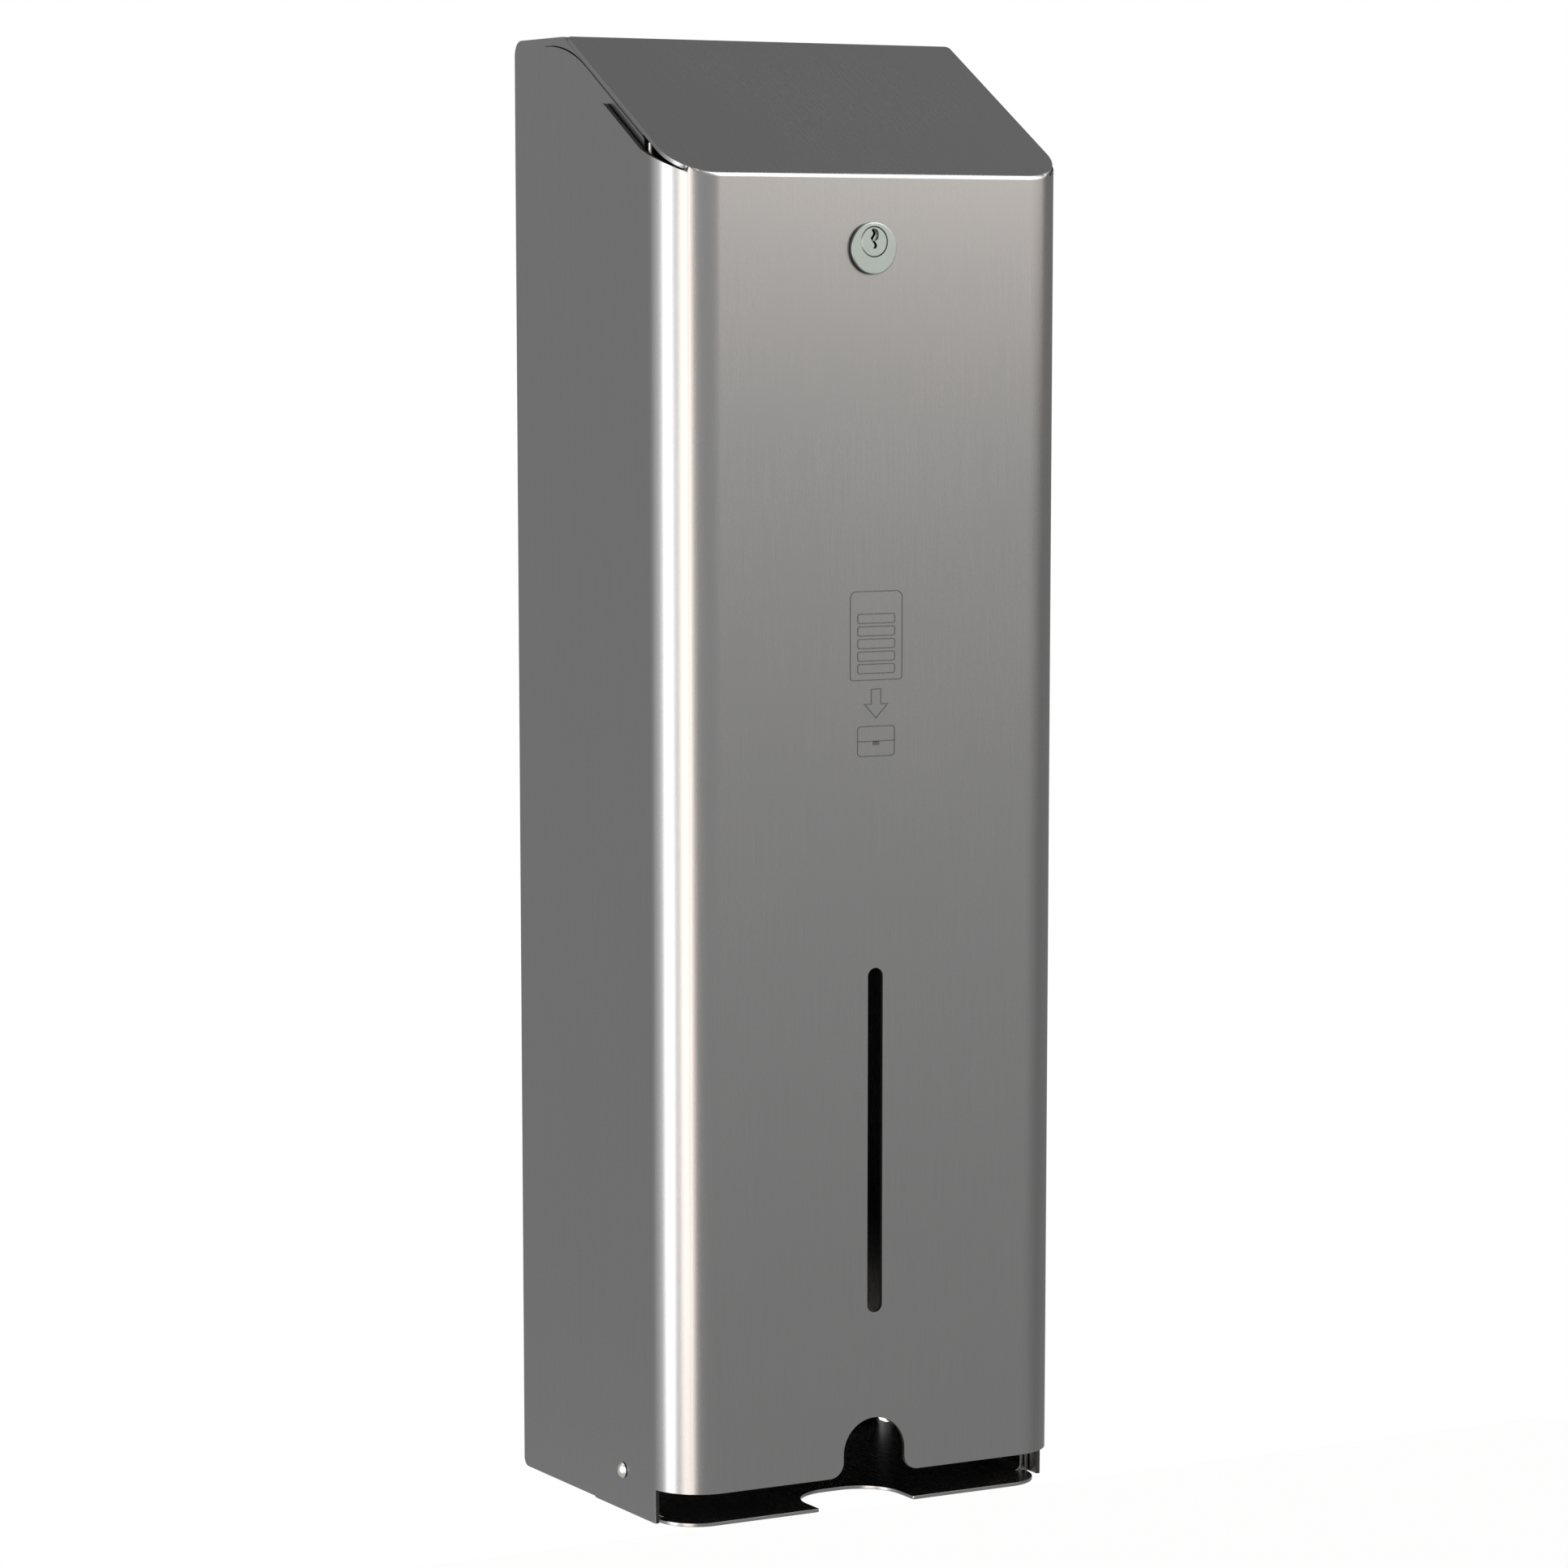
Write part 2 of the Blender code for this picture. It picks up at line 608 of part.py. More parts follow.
def front_and_lid_patches(profile):
    """The flat front, the bend at its top and the lid, as one strip whose width changes."""
    patches = [[
        on_plane("Y", COVER_DEPTH, -HALF_FRONT, FRONT_BOTTOM),
        on_plane("Y", COVER_DEPTH, HALF_FRONT, FRONT_BOTTOM),
        on_plane("Y", COVER_DEPTH, HALF_FRONT, profile[1][1]),
        on_plane("Y", COVER_DEPTH, -HALF_FRONT, profile[1][1]),
    ]]
    bend = profile[1:-1]
    halves = [HALF_FRONT] + [lid_half_width(depth) for depth, up in bend[1:]]
    for index, (first, second) in enumerate(zip(bend, bend[1:])):
        patches.append([
            on_plane("X", -halves[index], *first),
            on_plane("X", halves[index], *first),
            on_plane("X", halves[index + 1], *second),
            on_plane("X", -halves[index + 1], *second),
        ])
    corner_depth = COVER_DEPTH - LID_CORNER_RADIUS
    start = math.asin((bend[-1][0] - corner_depth) / LID_CORNER_RADIUS)
    right = arc((HALF_CASE - LID_CORNER_RADIUS, corner_depth), LID_CORNER_RADIUS, start, 0,
                CORNER_STEPS)
    rear = rounded([
        (HALF_CASE, corner_depth, 0),
        (HALF_CASE, LID_REAR_DEPTH, LID_REAR_RADIUS),
        (-HALF_CASE, LID_REAR_DEPTH, LID_REAR_RADIUS),
        (-HALF_CASE, corner_depth, 0),
    ])
    outline = right[:-1] + rear + mirrored(right)[1:]
    patches.append([Vector((across, -depth, lid_height(depth))) for across, depth in outline])
    return patches


def cover_corner_patches(side, join_height):
    """One rounded corner and the flat side behind it. The corner stops short of the tray."""
    stations = corner_stations(join_height)
    outline = cover_side_outline(stations[0][2])
    patches = [[on_plane("X", side * HALF_COVER, *point) for point in outline]]
    bottoms = [COVER_SIDE_BOTTOM] * 2 + [FRONT_BOTTOM] * CORNER_STEPS
    for index, (first, second) in enumerate(zip(stations, stations[1:])):
        low = bottoms[index] if index == 0 else FRONT_BOTTOM
        patch = [
            on_plane("Z", low, side * first[0], first[1]),
            on_plane("Z", low, side * second[0], second[1]),
        ]
        if index == 0:
            patch.append(on_plane("Z", FRONT_BOTTOM, side * second[0], second[1]))
        patch += [
            on_plane("Z", second[2], side * second[0], second[1]),
            on_plane("Z", first[2], side * first[0], first[1]),
        ]
        patches.append(patch)
    return patches


def thumb_notch():
    """The arch at the bottom of the front, with flared feet."""
    shoulder = THUMB_NOTCH_TOP - THUMB_NOTCH_RADIUS
    foot = THUMB_NOTCH_RADIUS + THUMB_NOTCH_FLARE
    arch = arc((0, shoulder), THUMB_NOTCH_RADIUS, 0, 2 * QUARTER_TURN, 2 * CORNER_STEPS)
    flare = arc((-foot, FRONT_BOTTOM + THUMB_NOTCH_FLARE), THUMB_NOTCH_FLARE, 0, -QUARTER_TURN,
                BEND_STEPS)
    below = FRONT_BOTTOM - OVERRUN
    return [(foot, below)] + mirrored(flare) + arch + flare + [(-foot, below)]


def sight_slot():
    """The upright slot that shows how full the stack is."""
    half = SIGHT_SLOT_WIDTH / 2
    top = arc((0, SIGHT_SLOT_TOP - half), half, 0, 2 * QUARTER_TURN, CORNER_STEPS)
    bottom = arc((0, SIGHT_SLOT_BOTTOM + half), half, -2 * QUARTER_TURN, 0, CORNER_STEPS)
    return top + bottom


def double_d(centre, radius, flat):
    """A round outline with a flat at each side."""
    reach = math.acos(flat / radius)
    upper = arc(centre, radius, reach, 2 * QUARTER_TURN - reach, CORNER_STEPS)
    lower = arc(centre, radius, reach - 2 * QUARTER_TURN, -reach, CORNER_STEPS)
    return upper + lower


def make_front_cover(cover, material):
    """Front, corners, sides and lid from one folded sheet, open round the lid's corners."""
    profile = rounded([
        (COVER_DEPTH, FRONT_BOTTOM, 0),
        (COVER_DEPTH, FRONT_HEIGHT, FRONT_BEND_RADIUS),
        (LID_REAR_DEPTH, CASE_HEIGHT, 0),
    ])
    patches = front_and_lid_patches(profile)
    for side in (-1, 1):
        patches += cover_corner_patches(side, profile[1][1])
    front = sheet("front_cover", patches, (0, -1, 0), COVER_SHEET, cover, material)
    lock_hole = double_d((LOCK_X, LOCK_HEIGHT), LOCK_BODY_RADIUS + PIN_GAP,
                         LOCK_FLAT_HALF + PIN_GAP)
    openings = [thumb_notch(), sight_slot(), lock_hole]
    cutter = prism("front_openings", "Y", COVER_DEPTH - OVERRUN, COVER_DEPTH + OVERRUN, openings,
                   cover)
    cut(front, case_origin(cutter))
    pin_hole = circle((PIN_DEPTH, PIN_HEIGHT), PIN_RADIUS + PIN_GAP)
    reach = HALF_COVER + OVERRUN
    cutter = prism("cover_pin_holes", "X", -reach, reach, [pin_hole], cover)
    cut(front, case_origin(cutter))
    return front


# Hinge


def make_hinge_side(word, side, case, material):
    """The rivet that a side of the cover turns on, and the washer under its closed end."""
    washer_low = COVER_SHEET + COVER_SIDE_GAP + CASE_SHEET + SEAT_GAP
    washer_high = washer_low + WASHER_THICKNESS
    tail = washer_high + SEAT_GAP
    dome_radius = (RIVET_HEAD_RADIUS**2 + RIVET_HEAD_HEIGHT**2) / (2 * RIVET_HEAD_HEIGHT)
    rim = math.asin(RIVET_HEAD_RADIUS / dome_radius)
    top = SEAT_GAP + RIVET_HEAD_HEIGHT
    dome = arc((0, top - dome_radius), dome_radius, QUARTER_TURN, QUARTER_TURN - rim, BEND_STEPS)
    dome[0] = (0, top)
    profile = dome + [
        (PIN_RADIUS, SEAT_GAP),
        (PIN_RADIUS, -tail),
        (RIVET_TAIL_RADIUS, -tail),
        (RIVET_TAIL_RADIUS, -tail - RIVET_TAIL_HEIGHT / 2),
        (PIN_RADIUS, -tail - RIVET_TAIL_HEIGHT),
        (0, -tail - RIVET_TAIL_HEIGHT),
    ]
    rivet = revolve("hinge_rivet_" + word, profile, case, material)
    inner = PIN_RADIUS + PIN_GAP
    washer = revolve("hinge_washer_" + word, [
        (inner, -washer_low),
        (WASHER_RADIUS, -washer_low),
        (WASHER_RADIUS, -washer_high),
        (inner, -washer_high),
    ], case, material)
    for piece in (rivet, washer):
        piece.location = (side * HALF_COVER, -PIN_DEPTH, PIN_HEIGHT)
        piece.rotation_euler = (0, side * QUARTER_TURN, 0)
        shade_round(piece)


# Cam lock, with each piece's Z pointing out of the cover's face


def make_lock_housing(mount, material):
    """The housing with its round face, a body with two flats and an offset stepped bore."""
    edge = arc((LOCK_FACE_RADIUS - LOCK_FACE_EDGE, LOCK_FACE_THICKNESS - LOCK_FACE_EDGE),
               LOCK_FACE_EDGE, QUARTER_TURN, 0, BEND_STEPS)
    housing = revolve("lock_housing", [(0, LOCK_FACE_THICKNESS)] + edge + [
        (LOCK_FACE_RADIUS, SEAT_GAP),
        (LOCK_BODY_RADIUS, SEAT_GAP),
        (LOCK_BODY_RADIUS, -LOCK_BODY_LENGTH),
        (0, -LOCK_BODY_LENGTH),
    ], mount, material)
    outside = LOCK_BODY_RADIUS + OVERRUN
    flats = []
    for side in (-1, 1):
        across = sorted((side * LOCK_FLAT_HALF, side * outside))
        flats.append([(across[0], -outside), (across[1], -outside),
                      (across[1], outside), (across[0], outside)])
    cut(housing, turned_prism("lock_flats", -LOCK_BODY_LENGTH - OVERRUN, SEAT_GAP, flats, mount))
    head_bore = circle((0, PLUG_OFFSET), PLUG_HEAD_RADIUS + PLUG_GAP)
    head = turned_prism("lock_head_bore", -PLUG_HEAD_DEPTH - PLUG_GAP, OVERRUN, [head_bore], mount)
    cut(housing, head)
    bore = circle((0, PLUG_OFFSET), PLUG_BODY_RADIUS + PLUG_GAP)
    cut(housing, turned_prism("lock_bore", -LOCK_BODY_LENGTH - OVERRUN, 0, [bore], mount))
    shade_round(housing)
    return housing


def turned_prism(name, low, high, outlines, mount, material=None):
    """A prism drawn in a lock piece's own axes, extruded along its Z."""
    flipped = [[(across, -up) for across, up in outline] for outline in outlines]
    return prism(name, "Z", low, high, flipped, mount, material)


def keyway():
    """The waved outline of the keyway, from its low end up one side and down the other."""
    steps = 2 * CORNER_STEPS
    right, left = [], []
    for step in range(steps + 1):
        up = KEYWAY_LOW + (KEYWAY_HIGH - KEYWAY_LOW) * step / steps
        sway = KEYWAY_WAVE * math.sin(2 * math.pi * (up - KEYWAY_LOW) / KEYWAY_WAVE_LENGTH)
        right.append((sway + KEYWAY_HALF_WIDTH, up))
        left.append((sway - KEYWAY_HALF_WIDTH, up))
    return right + left[::-1]


def key_guide():
    """The oval recess that leads the key into the keyway."""
    return rounded([
        (KEY_GUIDE_HALF, KEY_GUIDE_LOW, KEY_GUIDE_HALF),
        (KEY_GUIDE_HALF, KEYWAY_HIGH, KEY_GUIDE_HALF),
        (-KEY_GUIDE_HALF, KEYWAY_HIGH, KEY_GUIDE_HALF),
        (-KEY_GUIDE_HALF, KEY_GUIDE_LOW, KEY_GUIDE_HALF),
    ])


def square(half):
    return [(-half, -half), (half, -half), (half, half), (-half, half)]


def make_lock_plug(axis, material):
    """The turning plug: head with a keyway, body and the square that drives the cam."""
    face = LOCK_FACE_THICKNESS
    square_end = PLUG_LENGTH + SEAT_GAP + CAM_THICKNESS
    plug = revolve("lock_plug", [
        (0, face),
        (PLUG_HEAD_RADIUS - PLUG_EDGE, face),
        (PLUG_HEAD_RADIUS, face - PLUG_EDGE),
        (PLUG_HEAD_RADIUS, -PLUG_HEAD_DEPTH),
        (PLUG_BODY_RADIUS, -PLUG_HEAD_DEPTH),
        (PLUG_BODY_RADIUS, -PLUG_LENGTH),
        (0, -PLUG_LENGTH),
    ], axis, material)
    block = square(CAM_SQUARE_HALF)
    drive = turned_prism("plug_square", -square_end, -PLUG_LENGTH + OVERRUN, [block], axis)
    join(plug, drive)
    guide = turned_prism("key_guide", face - KEY_GUIDE_DEPTH, face + OVERRUN, [key_guide()], axis)
    cut(plug, guide)
    cut(plug, turned_prism("keyway", face - KEYWAY_DEPTH, face + OVERRUN, [keyway()], axis))
    hole = circle((0, 0), CAM_SCREW_RADIUS + PIN_GAP, ROUND_STEPS // 2)
    hole_end = square_end - CAM_SCREW_LENGTH - SEAT_GAP
    cut(plug, turned_prism("plug_screw_hole", -square_end - OVERRUN, -hole_end, [hole], axis))
    shade_round(plug)
    return plug


def make_lock_nut(mount, material):
    """The hexagon nut behind the cover, with the tooth washer under it."""
    washer_high = -COVER_SHEET - SEAT_GAP
    washer_low = washer_high - TOOTH_WASHER_THICKNESS
    teeth = []
    for tooth in range(2 * TOOTH_COUNT):
        radius = TOOTH_WASHER_RADIUS - TOOTH_DEPTH * (tooth % 2)
        turn = math.pi / TOOTH_COUNT
        start = (tooth + TOOTH_SLANT_SHARE) * turn
        teeth += arc((0, 0), radius, start, start + (1 - 2 * TOOTH_SLANT_SHARE) * turn, 1)
    washer = turned_prism("lock_tooth_washer", washer_low, washer_high, [teeth], mount, material)
    bore = circle((0, 0), LOCK_BODY_RADIUS + PIN_GAP)
    cut(washer, turned_prism("tooth_washer_bore", washer_low - OVERRUN, washer_high + OVERRUN,
                             [bore], mount))
    nut_high = washer_low - SEAT_GAP
    nut_low = nut_high - NUT_THICKNESS
    nut = turned_prism("lock_nut", nut_low, nut_high,
                       [circle((0, 0), NUT_HALF_FLATS / math.cos(math.pi / HEX_SIDES), HEX_SIDES)],
                       mount, material)
    chamfer = nut.modifiers.new("edges", "BEVEL")
    chamfer.width = NUT_CHAMFER
    chamfer.segments = 1
    chamfer.limit_method = "ANGLE"
    cut(nut, turned_prism("lock_nut_bore", nut_low - OVERRUN, nut_high + OVERRUN, [bore], mount))
    return washer, nut


def make_cam(axis, material):
    """The cam on the plug's square, with its washer and screw. At rest it points to the side."""
    high = -PLUG_LENGTH - SEAT_GAP
    low = high - CAM_THICKNESS
    outline = rounded([
        (-CAM_HALF_WIDTH, -CAM_HALF_WIDTH, CAM_HALF_WIDTH),
        (CAM_REACH, -CAM_HALF_WIDTH, CAM_TIP_RADIUS),
        (CAM_REACH, CAM_HALF_WIDTH, CAM_TIP_RADIUS),
        (-CAM_HALF_WIDTH, CAM_HALF_WIDTH, CAM_HALF_WIDTH),
    ])
    cam = turned_prism("lock_cam", low, high, [outline], axis, material)
    hole = square(CAM_SQUARE_HALF + PIN_GAP)
    cut(cam, turned_prism("cam_square_hole", low - OVERRUN, high + OVERRUN, [hole], axis))
    washer_high = low - SEAT_GAP
    washer_low = washer_high - CAM_WASHER_THICKNESS
    inner = CAM_SCREW_RADIUS + PIN_GAP
    washer = revolve("cam_washer", [
        (inner, washer_high),
        (CAM_WASHER_RADIUS, washer_high),
        (CAM_WASHER_RADIUS, washer_low),
        (inner, washer_low),
    ], axis, material)
    head_high = washer_low - SEAT_GAP
    head_low = head_high - CAM_SCREW_HEAD_HEIGHT
    screw = revolve("cam_screw", [
        (0, low + CAM_SCREW_LENGTH),
        (CAM_SCREW_RADIUS, low + CAM_SCREW_LENGTH),
        (CAM_SCREW_RADIUS, head_high),
        (CAM_SCREW_HEAD_RADIUS, head_high),
        (CAM_SCREW_HEAD_RADIUS, head_high - CAM_SCREW_HEAD_HEIGHT / 2),
        (CAM_SCREW_HEAD_RADIUS / 2, head_low),
        (0, head_low),
    ], axis, material)
    half, reach = CAM_SCREW_CROSS_HALF, CAM_SCREW_CROSS_REACH
    cross = [(half, half), (half, reach), (-half, reach), (-half, half), (-reach, half),
             (-reach, -half), (-half, -half), (-half, -reach), (half, -reach), (half, -half),
             (reach, -half), (reach, half)]
    cut(screw, turned_prism("screw_cross", head_low - OVERRUN, head_low + CAM_SCREW_CROSS_DEPTH,
                            [cross], axis))
    for piece in (washer, screw):
        shade_round(piece)


def face_forward(frame):
    """Turns a lock frame so that its pieces' Z points out of the cover's face."""
    frame.rotation_euler = (QUARTER_TURN, 0, 0)


def main():
    clear_scene()
    steel, case_steel, chrome, zinc = make_materials()
    case = make_frame("case_frame", None, (0, 0, -CASE_HEIGHT / 2))
    cover = make_frame("cover_hinge", case, (0, -PIN_DEPTH, PIN_HEIGHT))
    lock_place = (LOCK_X, PIN_DEPTH - COVER_DEPTH, LOCK_HEIGHT - PIN_HEIGHT)
    mount = make_frame("lock_mount", cover, lock_place)
    face_forward(mount)
    axis = make_frame("lock_axis", mount, (0, PLUG_OFFSET, 0))
    make_back_panel(case, case_steel)
    make_side_plate("side_plate_left", -1, case, case_steel)
    make_side_plate("side_plate_right", 1, case, case_steel)
    make_bottom_tray(case, case_steel)
    make_strike_rail(case, case_steel)
    make_front_cover(cover, steel)
    make_hinge_side("left", -1, case, zinc)
    make_hinge_side("right", 1, case, zinc)
    make_lock_housing(mount, chrome)
    make_lock_plug(axis, chrome)
    make_lock_nut(mount, zinc)
    make_cam(axis, zinc)


main()
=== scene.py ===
"""Looks of a wall-hung stainless steel dispenser for wrapped pads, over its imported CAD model.

Every piece is drawn again over its CAD node with finer bends, broken sheet edges and its own
finish. X runs across the dispenser, Y from its front to the wall and Z up. In the outlines a
depth is a distance from the wall and a height is a distance from the bottom of the case.
"""

import math

import bmesh
import bpy
from mathutils import Matrix, Vector


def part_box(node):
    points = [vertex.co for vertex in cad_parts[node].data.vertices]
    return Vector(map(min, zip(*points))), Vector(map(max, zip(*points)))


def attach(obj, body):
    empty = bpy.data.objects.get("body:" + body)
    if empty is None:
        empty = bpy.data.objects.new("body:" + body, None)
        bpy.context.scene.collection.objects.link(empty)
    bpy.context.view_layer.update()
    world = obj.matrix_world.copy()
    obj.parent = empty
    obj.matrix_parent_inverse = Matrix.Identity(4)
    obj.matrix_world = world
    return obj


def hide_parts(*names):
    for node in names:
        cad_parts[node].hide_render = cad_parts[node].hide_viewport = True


bl_info = {
    "name": "Pad Dispenser",
    "version": (1, 0, 0),
    "blender": (4, 5, 0),
    "location": "3D View > Sidebar > Dispenser",
    "description": "Builds a wall-hung stainless steel dispenser for wrapped pads",
    "category": "Add Mesh",
}

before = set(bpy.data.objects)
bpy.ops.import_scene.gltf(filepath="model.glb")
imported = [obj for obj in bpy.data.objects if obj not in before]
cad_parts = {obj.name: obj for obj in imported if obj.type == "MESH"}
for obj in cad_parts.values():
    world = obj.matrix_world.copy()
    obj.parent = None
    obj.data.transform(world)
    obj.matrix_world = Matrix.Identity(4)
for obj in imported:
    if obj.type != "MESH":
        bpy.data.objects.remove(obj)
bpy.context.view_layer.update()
COVER_LOW, COVER_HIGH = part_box("front_cover")
CASE_HALF_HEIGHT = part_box("back_panel")[1].z

SEAT_GAP = 0.0003
WELD_DISTANCE = 0.000002
OVERRUN = 0.0040
QUARTER_TURN = math.radians(90)
SHEET_BEND_STEPS = 10
CORNER_STEPS = 36
ROUND_STEPS = 96
SHARP_ANGLE = math.radians(38)
MAP_INPUTS = ("Value", "From Min", "From Max", "To Min", "To Max")


def linear(hex_colour):
    """Linear RGBA from an sRGB hex colour."""
    channels = [int(hex_colour[start:start + 2], 16) / 255 for start in (1, 3, 5)]
    return [c / 12.92 if c <= 0.04045 else ((c + 0.055) / 1.055) ** 2.4 for c in channels] + [1.0]


def length(name, description, default):
    """A length that the sidebar shows in the scene's units."""
    return bpy.props.FloatProperty(name=name, description=description, default=default,
                                   min=0.0, precision=4, subtype="DISTANCE", unit="LENGTH")


def colour(name, description, hex_colour):
    """A colour that the sidebar shows as a swatch."""
    return bpy.props.FloatVectorProperty(name=name, description=description, subtype="COLOR",
                                         size=4, min=0.0, max=1.0, default=linear(hex_colour))


class DispenserSizes(bpy.types.PropertyGroup):
    """Lengths of the folded sheets."""

    case_height: length("Case height", "Bottom of the case to its flat top",
                        CASE_HALF_HEIGHT * 2)
    cover_width: length("Cover width", "Width over the cover's sides",
                        COVER_HIGH.x - COVER_LOW.x)
    cover_depth: length("Cover depth", "Wall to the cover's face", -COVER_LOW.y)
    case_sheet: length("Case sheet", "Thickness of the case's sheet", 0.0010)
    cover_sheet: length("Cover sheet", "Thickness of the cover's sheet", 0.0015)
    cover_corner: length("Cover corner radius", "Outer radius of the cover's upright corners",
                         0.0173)
    lid_fall: length("Lid fall", "Drop of the lid from its rear edge to the cover's face",
                     0.0455)
    slot_width: length("Sight slot width", "Width of the slot that shows the stack", 0.0056)
    slot_top: length("Sight slot top", "Height of the slot's upper end", 0.1828)
    slot_bottom: length("Sight slot bottom", "Height of the slot's lower end", 0.0670)
    thumb_radius: length("Thumb notch radius", "Radius of the arch at the cover's bottom", 0.0117)
    edge_break: length("Edge break", "Width of the broken edge round every cut sheet", 0.00014)

    @property
    def half_cover(self):
        return self.cover_width / 2

    @property
    def half_case(self):
        return self.half_cover - self.cover_sheet - COVER_SIDE_GAP

    @property
    def half_tray(self):
        return self.half_case - self.case_sheet - SEAT_GAP

    @property
    def half_front(self):
        return self.half_cover - self.cover_corner

    @property
    def corner_depth(self):
        return self.cover_depth - self.cover_corner

    @property
    def slope(self):
        return math.atan2(self.lid_fall, self.cover_depth - LID_REAR_DEPTH)

    @property
    def under_lid(self):
        return self.cover_sheet + LID_GAP

    @property
    def lip_offset(self):
        return self.cover_sheet + SEAT_GAP

    @property
    def pin_depth(self):
        return self.cover_depth - PIN_INSET

    def lid_height(self, depth, offset=0):
        """Height at this depth of the line that lies offset below the lid's outer face."""
        fall = (depth - LID_REAR_DEPTH) * math.tan(self.slope)
        return self.case_height - fall - offset / math.cos(self.slope)

    def lid_depth(self, height, offset=0):
        """Depth at which that line has this height."""
        fall = self.case_height - offset / math.cos(self.slope) - height
        return LID_REAR_DEPTH + fall / math.tan(self.slope)


class DispenserColours(bpy.types.PropertyGroup):
    """Colours of the finishes."""

    cover_steel: colour("Cover steel", "Brushed stainless steel of the cover", "#6D6D6D")
    case_steel: colour("Case steel", "Rolled stainless steel of the case", "#6D6D6D")
    lock_chrome: colour("Lock chrome", "Satin chrome on the lock", "#6E7572")
    zinc_plate: colour("Zinc plate", "Bright zinc on the rivets, nut and cam", "#A6A6A2")
    cut_edge: colour("Cut edge", "Oxide on the cover's laser-cut edges", "#1C1A18")
    sign_ink: colour("Sign ink", "Screen-printed ink of the pictogram", "#34343A")
    floor_paper: colour("Floor", "Paper sweep below the dispenser", "#F4F4F2")


# Fixed lengths in metres, with angles, shares and counts among them
COVER_SIDE_GAP = 0.0005
LID_GAP = 0.0007
CORNER_GAP = 0.00005
PIN_GAP = 0.0002
SWING_GAP = 0.0005
BACK_BEND_RADIUS = 0.0050
LIP_BEND_RADIUS = 0.0020
LIP_LENGTH = 0.0120
BACK_FLANGE_RADIUS = 0.0020
BACK_FLANGE_WIDTH = 0.0110
BACK_FLANGE_DROP = 0.0060
BACK_RELIEF = 0.0009
SHOULDER_DROP = 0.0027
SHOULDER_RADIUS = 0.0560
SLIT_DEPTH = 0.0230
SLIT_START_WIDTH = 0.00012
TONGUE_RADIUS = 0.0500
TONGUE_REACH = 0.0530
TONGUE_OFFSET = 0.0019
TONGUE_GAP = 0.00004
SIDE_FRONT_INSET_TOP = 0.0230
SIDE_FRONT_INSET_BOTTOM = 0.0200
SIDE_EDGE_RADIUS = 0.0010
SIDE_EDGE_ROUND = 0.0009
FRONT_BEND_RADIUS = 0.0022
FRONT_BOTTOM = 0.0120
COVER_SIDE_BOTTOM = 0.0006
STEP_PAST_CORNER = 0.0024
LID_REAR_DEPTH = 0.0390
LID_REAR_RADIUS = 0.0015
LID_EDGE_ROUND = 0.0007
COVER_SIDE_DROP = 0.0054
CORNER_DROP = 0.0042
CORNER_EASE_START = 0.0048
COVER_SIDE_REACH_TOP = 0.0529
COVER_SIDE_REACH_BOTTOM = 0.0594
COVER_SIDE_TOP_RADIUS = 0.0040
COVER_SIDE_LOW_RADIUS = 0.0020
CORNER_EASE_SHARE = 0.61
CORNER_JOIN_ANGLE = math.radians(55)
BEND_GROWTH_ANGLE = math.radians(11)
THUMB_NOTCH_TOP = 0.0313
THUMB_NOTCH_FLARE = 0.0052
TRAY_SHEET = 0.0012
TRAY_BEND_RADIUS = 0.0030
TRAY_FLANGE_HEIGHT = 0.0062
TRAY_REAR_FLANGE_HEIGHT = 0.0080
TRAY_REAR_FLANGE_HALF = 0.0680
TRAY_FLANGE_START = 0.0080
TRAY_FLANGE_INSET = 0.0210
TRAY_RELIEF = 0.0009
FINGER_NOTCH_HALF = 0.0182
FINGER_NOTCH_DEPTH = 0.0240
FINGER_NOTCH_RADIUS = 0.0150
FINGER_NOTCH_LIP_RADIUS = 0.0008
RAIL_SHEET = 0.0012
RAIL_DROP = 0.0180
RAIL_BEND_RADIUS = 0.0024
RAIL_TAB_LENGTH = 0.0120
RAIL_FLANGE_WIDTH = 0.0110
PIN_INSET = 0.0380
PIN_HEIGHT = 0.0142
PIN_RADIUS = 0.0020
RIVET_HEAD_RADIUS = 0.0027
RIVET_HEAD_HEIGHT = 0.0014
RIVET_TAIL_RADIUS = 0.0031
RIVET_TAIL_HEIGHT = 0.0013
WASHER_RADIUS = 0.0045
WASHER_THICKNESS = 0.0008
LOCK_X = -0.0020
LOCK_DROP = 0.0236
LOCK_FACE_RADIUS = 0.0084
LOCK_FACE_THICKNESS = 0.0016
LOCK_FACE_EDGE = 0.00035
LOCK_BODY_RADIUS = 0.0071
LOCK_FLAT_HALF = 0.0063
LOCK_THREAD_PITCH = 0.0010
LOCK_THREAD_DEPTH = 0.0005
PLUG_OFFSET = 0.0021
PLUG_HEAD_RADIUS = 0.0049
PLUG_HEAD_DEPTH = 0.0030
PLUG_BODY_RADIUS = 0.0041
PLUG_EDGE = 0.0003
PLUG_GAP = 0.0003
PLUG_FACE_GAP = 0.00014
KEYWAY_HALF_WIDTH = 0.0005
KEYWAY_LOW = -0.0022
KEYWAY_HIGH = 0.0042
KEYWAY_WAVE = 0.0005
KEYWAY_WAVE_LENGTH = 0.0039
KEYWAY_DEPTH = 0.0080
KEY_GUIDE_HALF = 0.0016
KEY_GUIDE_LOW = 0.0002
KEY_GUIDE_DEPTH = 0.0009
CAM_SQUARE_HALF = 0.0027
CAM_THICKNESS = 0.0020
CAM_HALF_WIDTH = 0.0060
CAM_REACH = 0.0250
CAM_TIP_RADIUS = 0.0020
CAM_GAP = 0.0004
NUT_HALF_FLATS = 0.0095
NUT_THICKNESS = 0.0030
NUT_CHAMFER = 0.0006
TOOTH_WASHER_THICKNESS = 0.0007
